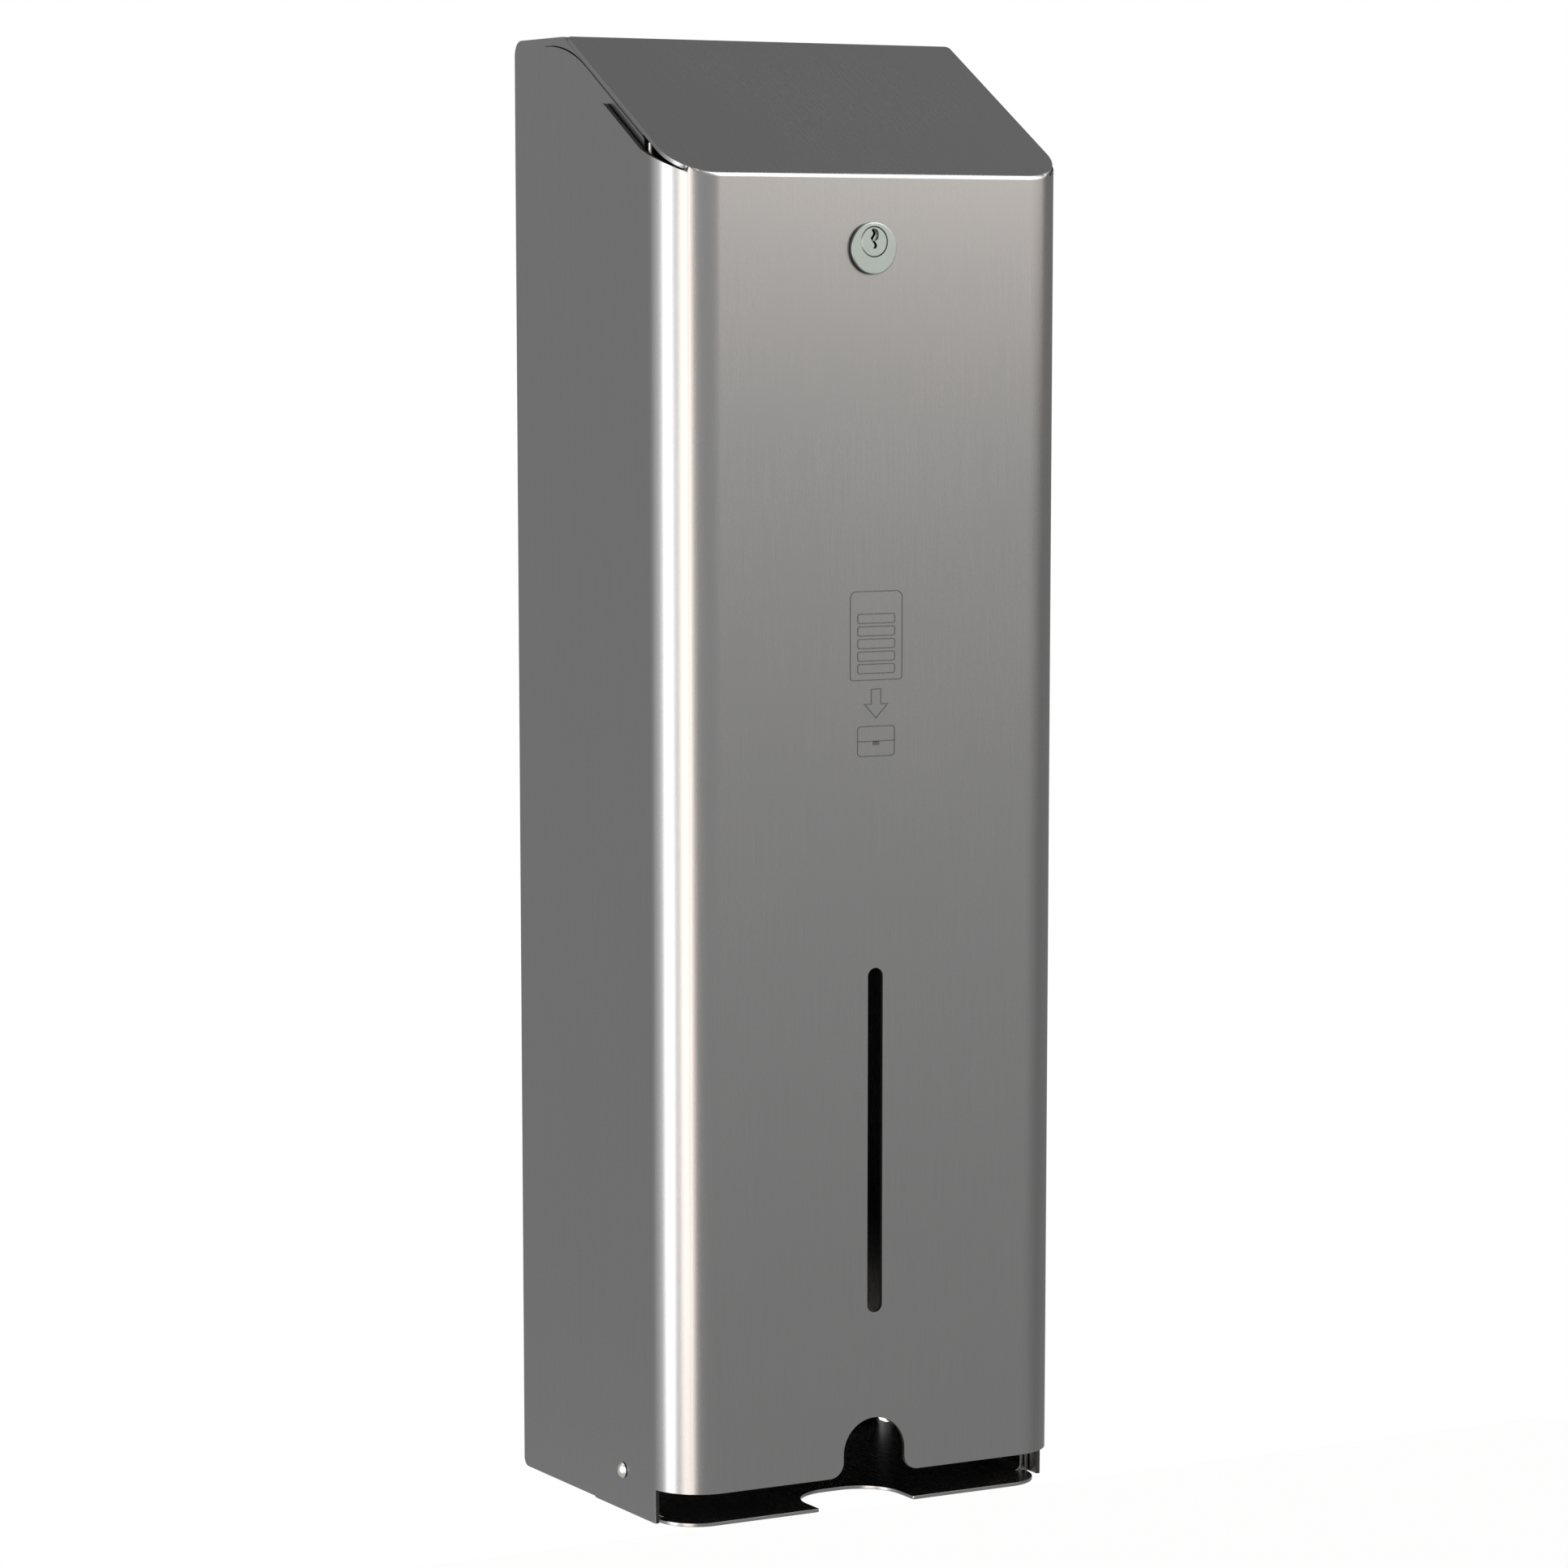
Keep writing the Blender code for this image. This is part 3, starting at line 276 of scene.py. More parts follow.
TOOTH_WASHER_RADIUS = 0.0093
TOOTH_DEPTH = 0.0009
TOOTH_COUNT = 14
TOOTH_SLANT_SHARE = 0.20
HEX_SIDES = 6
CAM_WASHER_RADIUS = 0.0045
CAM_WASHER_THICKNESS = 0.0008
CAM_SCREW_RADIUS = 0.0020
CAM_SCREW_LENGTH = 0.0080
CAM_SCREW_HEAD_RADIUS = 0.0037
CAM_SCREW_HEAD_HEIGHT = 0.0024
CAM_SCREW_CROSS_HALF = 0.0005
CAM_SCREW_CROSS_REACH = 0.0020
CAM_SCREW_CROSS_DEPTH = 0.0012
KEYHOLE_X = 0.0450
KEYHOLE_DROP = 0.0620
KEYHOLE_HEAD_RADIUS = 0.0048
KEYHOLE_SHANK_RADIUS = 0.0026
KEYHOLE_RISE = 0.0090
LOWER_HOLE_HEIGHT = 0.0600
LOWER_HOLE_RADIUS = 0.0026
BACK_FACE = 0.0013
INK_THICKNESS = 0.00003
INK_LINE = 0.00034
SIGN_TOP = 0.3070
SIGN_HEIGHT = 0.0290
SIGN_HALF = 0.0098
SIGN_LOW_RADIUS = 0.0010
SIGN_TOP_RADIUS = 0.0022
PACKET_COUNT = 5
PACKET_START = 0.0022
PACKET_SPACING = 0.0041
PACKET_HALF = 0.0070
PACKET_HEIGHT = 0.0030
PACKET_RADIUS = 0.0007
ARROW_START = 0.0030
ARROW_REACH = 0.0125
ARROW_HEAD = 0.0046
ARROW_HALF = 0.0018
ARROW_HEAD_HALF = 0.0044
TAKEN_HEIGHT = 0.0098
TAKEN_RADIUS = 0.0012
TAB_HALF = 0.0012
TAB_LENGTH = 0.0013
INK_CORNER_LIMIT = 0.3


# Outlines


def arc(centre, radius, start, end, steps):
    """Points on an arc from one angle to another, both ends included."""
    angles = [start + (end - start) * step / steps for step in range(steps + 1)]
    return [(centre[0] + radius * math.cos(a), centre[1] + radius * math.sin(a)) for a in angles]


def circle(centre, radius, steps=ROUND_STEPS):
    """Points on a whole circle."""
    return arc(centre, radius, 0, 2 * math.pi, steps)[:-1]


def rounded(corners, steps=SHEET_BEND_STEPS):
    """An outline of (across, up, radius) corners, with an arc in place of each rounded one."""
    outline = []
    count = len(corners)
    for index, (across, up, radius) in enumerate(corners):
        here = Vector((across, up))
        if radius == 0:
            outline.append((across, up))
            continue
        back = (Vector(corners[index - 1][:2]) - here).normalized()
        ahead = (Vector(corners[(index + 1) % count][:2]) - here).normalized()
        half = back.angle(ahead) / 2
        centre = here + (back + ahead).normalized() * radius / math.sin(half)
        start = here + back * radius / math.tan(half) - centre
        end = here + ahead * radius / math.tan(half) - centre
        first = math.atan2(start.y, start.x)
        turn = math.atan2(start.x * end.y - start.y * end.x, start.dot(end))
        outline += arc(centre, radius, first, first + turn, steps)
    pairs = zip(outline, outline[-1:] + outline)
    return [point for point, previous in pairs if math.dist(point, previous) > WELD_DISTANCE]


def mirrored(points):
    """The same outline points on the other side of X = 0, in reverse order."""
    return [(-across, other) for across, other in reversed(points)]


def double_d(centre, radius, flat):
    """A round outline with a flat at each side."""
    reach = math.acos(flat / radius)
    upper = arc(centre, radius, reach, 2 * QUARTER_TURN - reach, CORNER_STEPS)
    lower = arc(centre, radius, reach - 2 * QUARTER_TURN, -reach, CORNER_STEPS)
    return upper + lower


def square(half):
    """A square outline round the origin."""
    return [(-half, -half), (half, -half), (half, half), (-half, half)]


def place(axis, position, across, up):
    """A point of the case from an outline drawn square to an axis at this position."""
    if axis == "X":
        return Vector((position, -across, up - CASE_HALF_HEIGHT))
    if axis == "Y":
        return Vector((across, -position, up - CASE_HALF_HEIGHT))
    return Vector((across, -up, position - CASE_HALF_HEIGHT))


# Meshes


def add_object(name, builder, materials=()):
    """An object made from a bmesh, in the scene's own collection."""
    mesh = bpy.data.meshes.new(name)
    builder.to_mesh(mesh)
    builder.free()
    for material in materials:
        mesh.materials.append(material)
    obj = bpy.data.objects.new(name, mesh)
    bpy.context.scene.collection.objects.link(obj)
    return obj


def add_modifier(obj, kind, **settings):
    """A modifier with its settings."""
    modifier = obj.modifiers.new(kind.lower(), kind)
    for key, value in settings.items():
        setattr(modifier, key, value)


def join_rings(builder, lower, upper):
    """The wall between two rings of vertices."""
    for index in range(len(lower)):
        after = (index + 1) % len(lower)
        builder.faces.new([lower[index], lower[after], upper[after], upper[index]])


def prism(name, axis, low, high, outlines, materials=(), locate=place):
    """A solid from one or more outlines, extruded along an axis from low to high."""
    builder = bmesh.new()
    for outline in outlines:
        rings = [[builder.verts.new(locate(axis, level, *point)) for point in outline]
                 for level in (low, high)]
        for ring in rings:
            builder.faces.new(ring)
        join_rings(builder, *rings)
    bmesh.ops.recalc_face_normals(builder, faces=builder.faces)
    return add_object(name, builder, materials)


def folded_sheet(name, patches, outward, thickness, materials):
    """A folded sheet. The patches are its outer face, and outward is the first one's normal.

    A second material is that of its cut edges.
    """
    builder = bmesh.new()
    for patch in patches:
        builder.faces.new([builder.verts.new(point) for point in patch])
    bmesh.ops.remove_doubles(builder, verts=builder.verts, dist=WELD_DISTANCE)
    bmesh.ops.recalc_face_normals(builder, faces=builder.faces)
    builder.faces.ensure_lookup_table()
    if builder.faces[0].normal.dot(Vector(outward)) < 0:
        bmesh.ops.reverse_faces(builder, faces=builder.faces)
    obj = add_object(name, builder, materials)
    add_modifier(obj, "SOLIDIFY", thickness=thickness, offset=-1, use_even_offset=True,
                 use_quality_normals=True, material_offset_rim=len(materials) - 1)
    return obj


def turned(name, profile, materials, steps=ROUND_STEPS):
    """A turned piece about its own Z. The (radius, height) profile runs from top to bottom."""
    builder = bmesh.new()
    points = [builder.verts.new((radius, 0, height)) for radius, height in profile]
    edges = [builder.edges.new(pair) for pair in zip(points, points[1:])]
    if profile[0][0] > 0:
        edges.append(builder.edges.new((points[-1], points[0])))
    bmesh.ops.spin(builder, geom=points + edges, cent=(0, 0, 0), axis=(0, 0, 1),
                   angle=2 * math.pi, steps=steps, use_merge=True)
    bmesh.ops.remove_doubles(builder, verts=builder.verts, dist=WELD_DISTANCE)
    bmesh.ops.recalc_face_normals(builder, faces=builder.faces)
    return add_object(name, builder, materials)


def cut(obj, cutter, operation="DIFFERENCE"):
    """Takes the cutter's shape out of an object, or with UNION adds it.

    The cutter goes once the piece is baked.
    """
    add_modifier(obj, "BOOLEAN", operation=operation, solver="EXACT", object=cutter)
    cutter.hide_render = True


def bake(obj):
    """Turns an object's modifiers into mesh, and removes the cutters that they used."""
    helpers = [m.object for m in obj.modifiers if m.type == "BOOLEAN"]
    bpy.context.view_layer.update()
    graph = bpy.context.evaluated_depsgraph_get()
    mesh = bpy.data.meshes.new_from_object(obj.evaluated_get(graph))
    obj.modifiers.clear()
    obj.data = mesh
    mesh.name = obj.name
    for helper in helpers:
        bpy.data.objects.remove(helper, do_unlink=True)


def round_edges(obj, chosen, width):
    """Rounds the edges whose two ends are both chosen."""
    weights = obj.data.attributes.new("bevel_weight_edge", "FLOAT", "EDGE")
    for edge in obj.data.edges:
        ends = [obj.data.vertices[index].co for index in edge.vertices]
        weights.data[edge.index].value = float(all(chosen(end) for end in ends))
    add_modifier(obj, "BEVEL", width=width, segments=6, limit_method="WEIGHT")


def sharp_points(mesh):
    """The points of a mesh's sharp edges."""
    normals = {}
    for face in mesh.polygons:
        for key in face.edge_keys:
            normals.setdefault(key, []).append(face.normal)
    return {tuple(mesh.vertices[end].co) for key, sides in normals.items() for end in key
            if len(sides) == 2 and sides[0].angle(sides[1]) > SHARP_ANGLE}


def finish_piece(obj, edge, body, slot, *nodes):
    """Breaks a piece's edges, smooths its bends and puts it in place of its CAD nodes."""
    if edge:
        add_modifier(obj, "BEVEL", width=edge, segments=2, limit_method="ANGLE",
                     angle_limit=SHARP_ANGLE, use_clamp_overlap=False, miter_outer="MITER_ARC")
    bake(obj)
    obj.data.shade_smooth()
    obj.data.set_sharp_from_angle(angle=SHARP_ANGLE)
    # Flat faces stay flat beside their rounded edges
    add_modifier(obj, "WEIGHTED_NORMAL", mode="FACE_AREA", keep_sharp=True, weight=100)
    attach(obj, body)
    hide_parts(*nodes)
    return obj


# Materials


def add_node(tree, kind, links=None, **settings):
    """A node with its settings. Links give each input a value or another node's output."""
    node = tree.nodes.new("ShaderNode" + kind)
    for key, value in settings.items():
        setattr(node, key, value)
    for key, value in (links or {}).items():
        if isinstance(value, bpy.types.NodeSocket):
            tree.links.new(value, node.inputs[key])
        else:
            node.inputs[key].default_value = value
    return node


def new_material(name, base, metallic, roughness):
    """A new material's nodes, its shader with constant values and the place on the piece."""
    material = bpy.data.materials.new(name)
    material.use_nodes = True
    tree = material.node_tree
    shader = tree.nodes["Principled BSDF"]
    shader.inputs["Base Color"].default_value = base
    shader.inputs["Metallic"].default_value = metallic
    shader.inputs["Roughness"].default_value = roughness
    return tree, shader, add_node(tree, "TexCoord").outputs["Object"]


def wire(tree, shader, gloss, shade, relief):
    """Wires a finish's patterns into its shader.

    A row holds a pattern, two of its readings and the values that they give. The gloss rows add
    up to the roughness, and the shade rows multiply the colour. Relief is the pattern, depth
    and strength of the surface's height.
    """
    levels = [add_node(tree, "MapRange", dict(zip(MAP_INPUTS, row))).outputs[0]
              for row in gloss + shade]
    dullness = levels[:len(gloss)]
    if len(dullness) == 2:
        dullness = [add_node(tree, "Math", dict(enumerate(dullness))).outputs[0]]
    for level in dullness:
        tree.links.new(level, shader.inputs["Roughness"])
    for level in levels[len(gloss):]:
        tint = add_node(tree, "Mix", {
            "Factor": 1.0,
            6: list(shader.inputs["Base Color"].default_value),
            7: level,
        }, data_type="RGBA", blend_type="MULTIPLY")
        tree.links.new(tint.outputs[2], shader.inputs["Base Color"])
    height, depth, strength = relief
    bump = add_node(tree, "Bump", {"Height": height, "Distance": depth, "Strength": strength})
    tree.links.new(bump.outputs[0], shader.inputs["Normal"])


def ground_lines(tree, across, along):
    """Grain of a ground sheet: lines across apart and along long, up the sheet and over the lid."""
    coordinates = add_node(tree, "TexCoord")
    facing = add_node(tree, "SeparateXYZ", {0: coordinates.outputs["Normal"]})
    upward = add_node(tree, "Math", {0: facing.outputs["Z"]}, operation="ABSOLUTE")
    on_lid = add_node(tree, "Math", {0: upward.outputs[0], 1: 0.4}, operation="GREATER_THAN")
    steep, sloped = [add_node(tree, "Mapping", {
        "Vector": coordinates.outputs["Object"],
        "Scale": (1 / across, 1 / depth, 1 / along),
    }).outputs[0] for depth in (across, along)]
    route = add_node(tree, "Mix", {"Factor": on_lid.outputs[0], 4: steep, 5: sloped},
                     data_type="VECTOR")
    lines = add_node(tree, "TexNoise", {
        "Vector": route.outputs[1],
        "Scale": 1.0,
        "Detail": 3.0,
        "Roughness": 0.6,
    })
    return lines.outputs["Fac"]


def make_sheet_steel(name, base):
    """Stainless steel sheet, belt-ground along its length at the mill and then folded.

    The belt leaves fine lines that run up the sheet. They spread reflections into soft bands,
    and show only as a faint grain, with cloudy patches where the sheet was handled.
    """
    roughness = 0.27
    tree, shader, where = new_material(name, base, 1.0, roughness)
    # Real lines are 0.05 mm apart: drawn 0.4 mm apart so that they show in the render
    lines = ground_lines(tree, 0.0004, 0.030)
    # Handling leaves patches about 60 mm across
    patches = add_node(tree, "TexNoise", {"Vector": where, "Scale": 1 / 0.060, "Detail": 2.0})
    wire(tree, shader, [
        (lines, 0.3, 0.7, roughness - 0.012, roughness + 0.012),
        (patches.outputs["Fac"], 0.35, 0.65, -0.006, 0.006),
    ], [(lines, 0.3, 0.7, 0.985, 1.015)], (lines, 0.00001, 0.2))


def make_cut_edge(name, base):
    """The cover's edge as the laser left it: a dull dark oxide with fine cutting ripples."""
    tree, shader, where = new_material(name, base, 0.5, 0.55)
    # The cut's ripples are 0.15 mm apart, drawn at 0.3 mm
    noise = add_node(tree, "TexNoise", {"Vector": where, "Scale": 1 / 0.0003, "Detail": 2.0})
    ripples = noise.outputs["Fac"]
    wire(tree, shader, [(ripples, 0.3, 0.7, 0.45, 0.65)], [], (ripples, 0.00003, 0.4))


def make_lock_chrome(name, base):
    """Die-cast zinc, blasted and then satin chromed: an even, pale sheen with a faint grain."""
    tree, shader, where = new_material(name, base, 1.0, 0.34)
    # Blasting leaves dimples of about 0.15 mm, drawn at 0.3 mm
    grit = add_node(tree, "TexNoise", {"Vector": where, "Scale": 1 / 0.0003, "Detail": 2.0})
    # Hands and keys wear it in patches of about 6 mm
    worn = add_node(tree, "TexNoise", {"Vector": where, "Scale": 1 / 0.006, "Detail": 2.0})
    wire(tree, shader, [(worn.outputs["Fac"], 0.35, 0.65, 0.28, 0.40)], [],
         (grit.outputs["Fac"], 0.00002, 0.25))


def make_zinc_plate(name, base):
    """Steel, stamped or headed and then bright zinc plated: clear but slightly milky sheen."""
    tree, shader, where = new_material(name, base, 1.0, 0.30)
    # Plating clouds over in patches of about 3 mm
    noise = add_node(tree, "TexNoise", {"Vector": where, "Scale": 1 / 0.003, "Detail": 3.0})
    milk = noise.outputs["Fac"]
    wire(tree, shader, [(milk, 0.3, 0.7, 0.22, 0.42)], [], (milk, 0.00003, 0.3))


def make_sign_ink(name, base):
    """Screen-printed two-part ink: matt, with the mesh's slight unevenness in its colour."""
    tree, shader, where = new_material(name, base, 0.0, 0.55)
    # The screen's mesh is 0.1 mm, drawn at 0.4 mm
    noise = add_node(tree, "TexNoise", {"Vector": where, "Scale": 1 / 0.0004, "Detail": 1.0})
    mesh_marks = noise.outputs["Fac"]
    wire(tree, shader, [], [(mesh_marks, 0.0, 1.0, 0.85, 1.15)], (mesh_marks, 0.00001, 0.2))


def make_floor_paper(name, base):
    """Matt white paper sweep. It shows white, and darkens a little where it is shaded."""
    tree, shader, where = new_material(name, base, 0.0, 0.9)
    shader.inputs["Specular IOR Level"].default_value = 0.1
    rays = add_node(tree, "LightPath").outputs
    seen = rays["Is Camera Ray"]
    for kind in ("Is Glossy Ray", "Is Transmission Ray"):
        seen = add_node(tree, "Math", {0: seen, 1: rays[kind]}, operation="MAXIMUM").outputs[0]
    share = add_node(tree, "Math", {0: seen, 1: 0.85}, operation="MULTIPLY")
    glow = add_node(tree, "Emission", {"Color": (1, 1, 1, 1), "Strength": 1.0})
    mix = add_node(tree, "MixShader", {
        0: share.outputs[0],
        1: shader.outputs[0],
        2: glow.outputs[0],
    })
    tree.links.new(mix.outputs[0], tree.nodes["Material Output"].inputs["Surface"])


FINISHES = {
    "ground_stainless_sheet": (make_sheet_steel, "cover_steel"),
    "rolled_stainless_sheet": (make_sheet_steel, "case_steel"),
    "laser_cut_oxide": (make_cut_edge, "cut_edge"),
    "satin_chromed_zinc": (make_lock_chrome, "lock_chrome"),
    "bright_zinc_plated_steel": (make_zinc_plate, "zinc_plate"),
    "screen_printed_ink": (make_sign_ink, "sign_ink"),
    "white_paper_sweep": (make_floor_paper, "floor_paper"),
}


def finish(name):
    """The finish of this name, made on its first use from its colour in the sidebar."""
    if name not in bpy.data.materials:
        maker, swatch = FINISHES[name]
        maker(name, list(getattr(bpy.context.scene.dispenser_colours, swatch)))
    return bpy.data.materials[name]


# Case


def strips(profile, half):
    """Patches along a profile of (depth, height) points, to the half width on both sides."""
    return [[place("X", -half, *first), place("X", half, *first),
             place("X", half, *second), place("X", -half, *second)]
            for first, second in zip(profile, profile[1:])]


def upright_folds(fold, low, high):
    """Patches along a fold of (across, depth) points, between two heights, on both sides."""
    return [[place("Z", up, side * across, depth)
             for up, (across, depth) in ((low, first), (low, second), (high, second),
                                         (high, first))]
            for side in (-1, 1) for first, second in zip(fold, fold[1:])]


def keyhole(across, height):
    """A round hole for a screw head, with a narrower slot that rises from it."""
    reach = math.asin(KEYHOLE_SHANK_RADIUS / KEYHOLE_HEAD_RADIUS)
    head = arc((across, height), KEYHOLE_HEAD_RADIUS, QUARTER_TURN + reach,
               5 * QUARTER_TURN - reach, CORNER_STEPS)
    slot = arc((across, height + KEYHOLE_RISE), KEYHOLE_SHANK_RADIUS, 0, 2 * QUARTER_TURN,
               CORNER_STEPS // 2)
    return head + slot


def build_back_panel(size):
    """The sheet folded from the back over the top and down into a lip, between the side plates."""
    flat = size.half_tray - BACK_FLANGE_RADIUS
    flange_low = TRAY_REAR_FLANGE_HEIGHT + SEAT_GAP
    flange_high = size.case_height - BACK_FLANGE_DROP
    wide = flange_high + BACK_RELIEF
    lip_end = LID_REAR_DEPTH + LIP_LENGTH
    profile = rounded([
        (0, TRAY_BEND_RADIUS, 0),
        (0, size.case_height, BACK_BEND_RADIUS),
        (size.lid_depth(size.case_height, size.lip_offset), size.case_height, LIP_BEND_RADIUS),
        (lip_end, size.lid_height(lip_end, size.lip_offset), 0),
    ])
    right = [
        (flat, TRAY_BEND_RADIUS),
        (flat, flange_low),
        (flat, flange_high),
        (flat, wide),
        (size.half_tray, wide),
        (size.half_tray, profile[1][1]),
    ]
    patches = [[place("Y", 0, *point) for point in right + mirrored(right)]]
    patches += strips(profile[1:], size.half_tray)
    fold = arc((flat, BACK_FLANGE_RADIUS), BACK_FLANGE_RADIUS, -QUARTER_TURN, 0,
               SHEET_BEND_STEPS)
    fold.append((size.half_tray, BACK_FLANGE_WIDTH))
    patches += upright_folds(fold, flange_low, flange_high)
    panel = folded_sheet("back_and_top", patches, (0, 1, 0), size.case_sheet,
                         [finish("rolled_stainless_sheet")])
    height = size.case_height - KEYHOLE_DROP
    holes = [keyhole(-KEYHOLE_X, height), keyhole(KEYHOLE_X, height)]
    holes += [circle((side * KEYHOLE_X, LOWER_HOLE_HEIGHT), LOWER_HOLE_RADIUS)
              for side in (-1, 1)]
    cut(panel, prism("wall_holes", "Y", -OVERRUN, OVERRUN, holes))
    return finish_piece(panel, size.edge_break, "case", "case_steel", "back_panel")


def side_plate_outline(size):
    """The side plate in depths and heights. A slit parts its shoulder and slope from a tongue."""
    low = size.case_height - SHOULDER_DROP
    high = low + SLIT_START_WIDTH
    front_top = size.cover_depth - SIDE_FRONT_INSET_TOP
    tongue_end = LID_REAR_DEPTH + TONGUE_REACH
    tongue_top = size.cover_sheet + TONGUE_GAP
    return rounded([
        (0, 0, TRAY_BEND_RADIUS),
        (size.cover_depth - SIDE_FRONT_INSET_BOTTOM, 0, SIDE_EDGE_RADIUS),
        (front_top, size.lid_height(front_top, size.under_lid), SIDE_EDGE_RADIUS),
        (size.lid_depth(low, size.under_lid), low, SHOULDER_RADIUS),
        (SLIT_DEPTH, low, 0),
        (SLIT_DEPTH, high, 0),
        (size.lid_depth(high, TONGUE_OFFSET), high, TONGUE_RADIUS),
        (tongue_end, size.lid_height(tongue_end, TONGUE_OFFSET), 0),
        (tongue_end, size.lid_height(tongue_end, tongue_top), 0),
        (size.lid_depth(size.case_height, tongue_top), size.case_height, LIP_BEND_RADIUS),
        (0, size.case_height, BACK_BEND_RADIUS),
    ])


def build_side_plate(size, word, side):
    """A flat side plate outside the back sheet, ground round along its top and front edges."""
    inner, outer = size.half_case - size.case_sheet, size.half_case
    low, high = sorted((side * inner, side * outer))
    plate = prism("case_side_" + word, "X", low, high, [side_plate_outline(size)],
                  [finish("rolled_stainless_sheet")])
    slit = place("X", 0, 0, size.case_height - SHOULDER_DROP + SLIT_START_WIDTH).z
    lip_bend = size.lid_depth(size.case_height, size.cover_sheet)
    front = size.cover_depth - SIDE_FRONT_INSET_TOP - SIDE_EDGE_RADIUS / 2

    def ground(end):
        outside = side * end.x > (inner + outer) / 2
        return outside and (-end.y > front or (end.z > slit + WELD_DISTANCE and -end.y < lip_bend))

    round_edges(plate, ground, SIDE_EDGE_ROUND)
    hole = circle((size.pin_depth, PIN_HEIGHT), PIN_RADIUS + PIN_GAP)
    low, high = sorted((side * (inner - OVERRUN), side * (outer + OVERRUN)))
    cut(plate, prism("side_pin_hole", "X", low, high, [hole]))
    return finish_piece(plate, size.edge_break, "case", "case_steel", "side_plate_" + word)


def build_bottom_tray(size):
    """The floor that the stack rests on, with its finger notch and three upturned flanges."""
    reach = size.cover_depth - size.cover_sheet - size.pin_depth - SWING_GAP
    front = size.pin_depth + math.sqrt(reach**2 - PIN_HEIGHT**2)
    bend_x = size.half_tray - TRAY_BEND_RADIUS
    rear = BACK_FACE + TRAY_BEND_RADIUS
    flange_end = size.cover_depth - TRAY_FLANGE_INSET
    wide = flange_end + TRAY_RELIEF
    corner = size.half_tray - size.half_front
    notch_end = front - FINGER_NOTCH_DEPTH
    right = [
        (TRAY_REAR_FLANGE_HALF, rear, 0),
        (TRAY_REAR_FLANGE_HALF, TRAY_FLANGE_START, 0),
        (bend_x, TRAY_FLANGE_START, 0),
        (bend_x, flange_end, 0),
        (bend_x, wide, 0),
        (size.half_tray, wide, 0),
        (size.half_tray, front, corner),
        (FINGER_NOTCH_HALF, front, FINGER_NOTCH_LIP_RADIUS),
        (FINGER_NOTCH_HALF, notch_end, FINGER_NOTCH_RADIUS),
    ]
    left = [(-across, depth, radius) for across, depth, radius in reversed(right)]
    patches = [[place("Z", 0, *point) for point in rounded(right + left, 2 * SHEET_BEND_STEPS)]]
    side_fold = arc((bend_x, TRAY_BEND_RADIUS), TRAY_BEND_RADIUS, -QUARTER_TURN, 0,
                    SHEET_BEND_STEPS)
    side_fold.append((size.half_tray, TRAY_FLANGE_HEIGHT))
    rear_fold = arc((rear, TRAY_BEND_RADIUS), TRAY_BEND_RADIUS, -QUARTER_TURN,
                    -2 * QUARTER_TURN, SHEET_BEND_STEPS)
    rear_fold.append((BACK_FACE, TRAY_REAR_FLANGE_HEIGHT))
    for first, second in zip(side_fold, side_fold[1:]):
        for side in (-1, 1):
            patches.append([
                place("Z", first[1], side * first[0], TRAY_FLANGE_START),
                place("Z", first[1], side * first[0], flange_end),
                place("Z", second[1], side * second[0], flange_end),
                place("Z", second[1], side * second[0], TRAY_FLANGE_START),
            ])
    patches += strips(rear_fold, TRAY_REAR_FLANGE_HALF)
    tray = folded_sheet("stack_tray", patches, (0, 0, -1), TRAY_SHEET,
                        [finish("rolled_stainless_sheet")])
    return finish_piece(tray, size.edge_break, "case", "case_steel", "bottom_tray")


def build_strike_rail(size):
    """The folded rail across the top of the case. The cam catches behind its front flange."""
    depth = size.cover_depth - SIDE_FRONT_INSET_TOP - SEAT_GAP
    straight = size.half_tray - RAIL_BEND_RADIUS
    apex = size.lid_height(depth, size.under_lid)
    low = apex - RAIL_DROP
    rear = depth - RAIL_FLANGE_WIDTH
    profile = rounded([
        (depth, low, 0),
        (depth, apex, RAIL_BEND_RADIUS),
        (rear, size.lid_height(rear, size.under_lid), 0),
    ])
    fold = arc((straight, depth - RAIL_BEND_RADIUS), RAIL_BEND_RADIUS, QUARTER_TURN, 0,
               SHEET_BEND_STEPS)
    fold.append((size.half_tray, depth - RAIL_TAB_LENGTH))
    patches = strips(profile, straight) + upright_folds(fold, low, profile[1][1])
    rail = folded_sheet("catch_rail", patches, (0, -1, 0), RAIL_SHEET,
                        [finish("rolled_stainless_sheet")])
    return finish_piece(rail, size.edge_break, "case", "case_steel", "strike_rail")


# Front cover


def corner_stations(size):
    """Places round the cover's corner, from its side to the join: across, depth and top.

    There is a gap under the lid up to the join, from which on the two are in one piece.
    """
    step_angle = STEP_PAST_CORNER / size.cover_corner
    angles = [0, step_angle / 2, step_angle]
    angles += [step_angle + (CORNER_JOIN_ANGLE - step_angle) * step / CORNER_STEPS
               for step in range(1, CORNER_STEPS + 1)]
    under = (size.cover_sheet + CORNER_GAP) / math.cos(size.slope)
    stations = []
    for angle in angles:
        ease = 1 - min(angle / QUARTER_TURN / CORNER_EASE_SHARE, 1)
        depth = size.corner_depth + size.cover_corner * math.sin(angle)
        drop = 0 if angle == angles[-1] else under + (CORNER_DROP - under) * ease**2
        stations.append((size.half_front + size.cover_corner * math.cos(angle), depth,
                         size.lid_height(depth) - drop))
    return stations


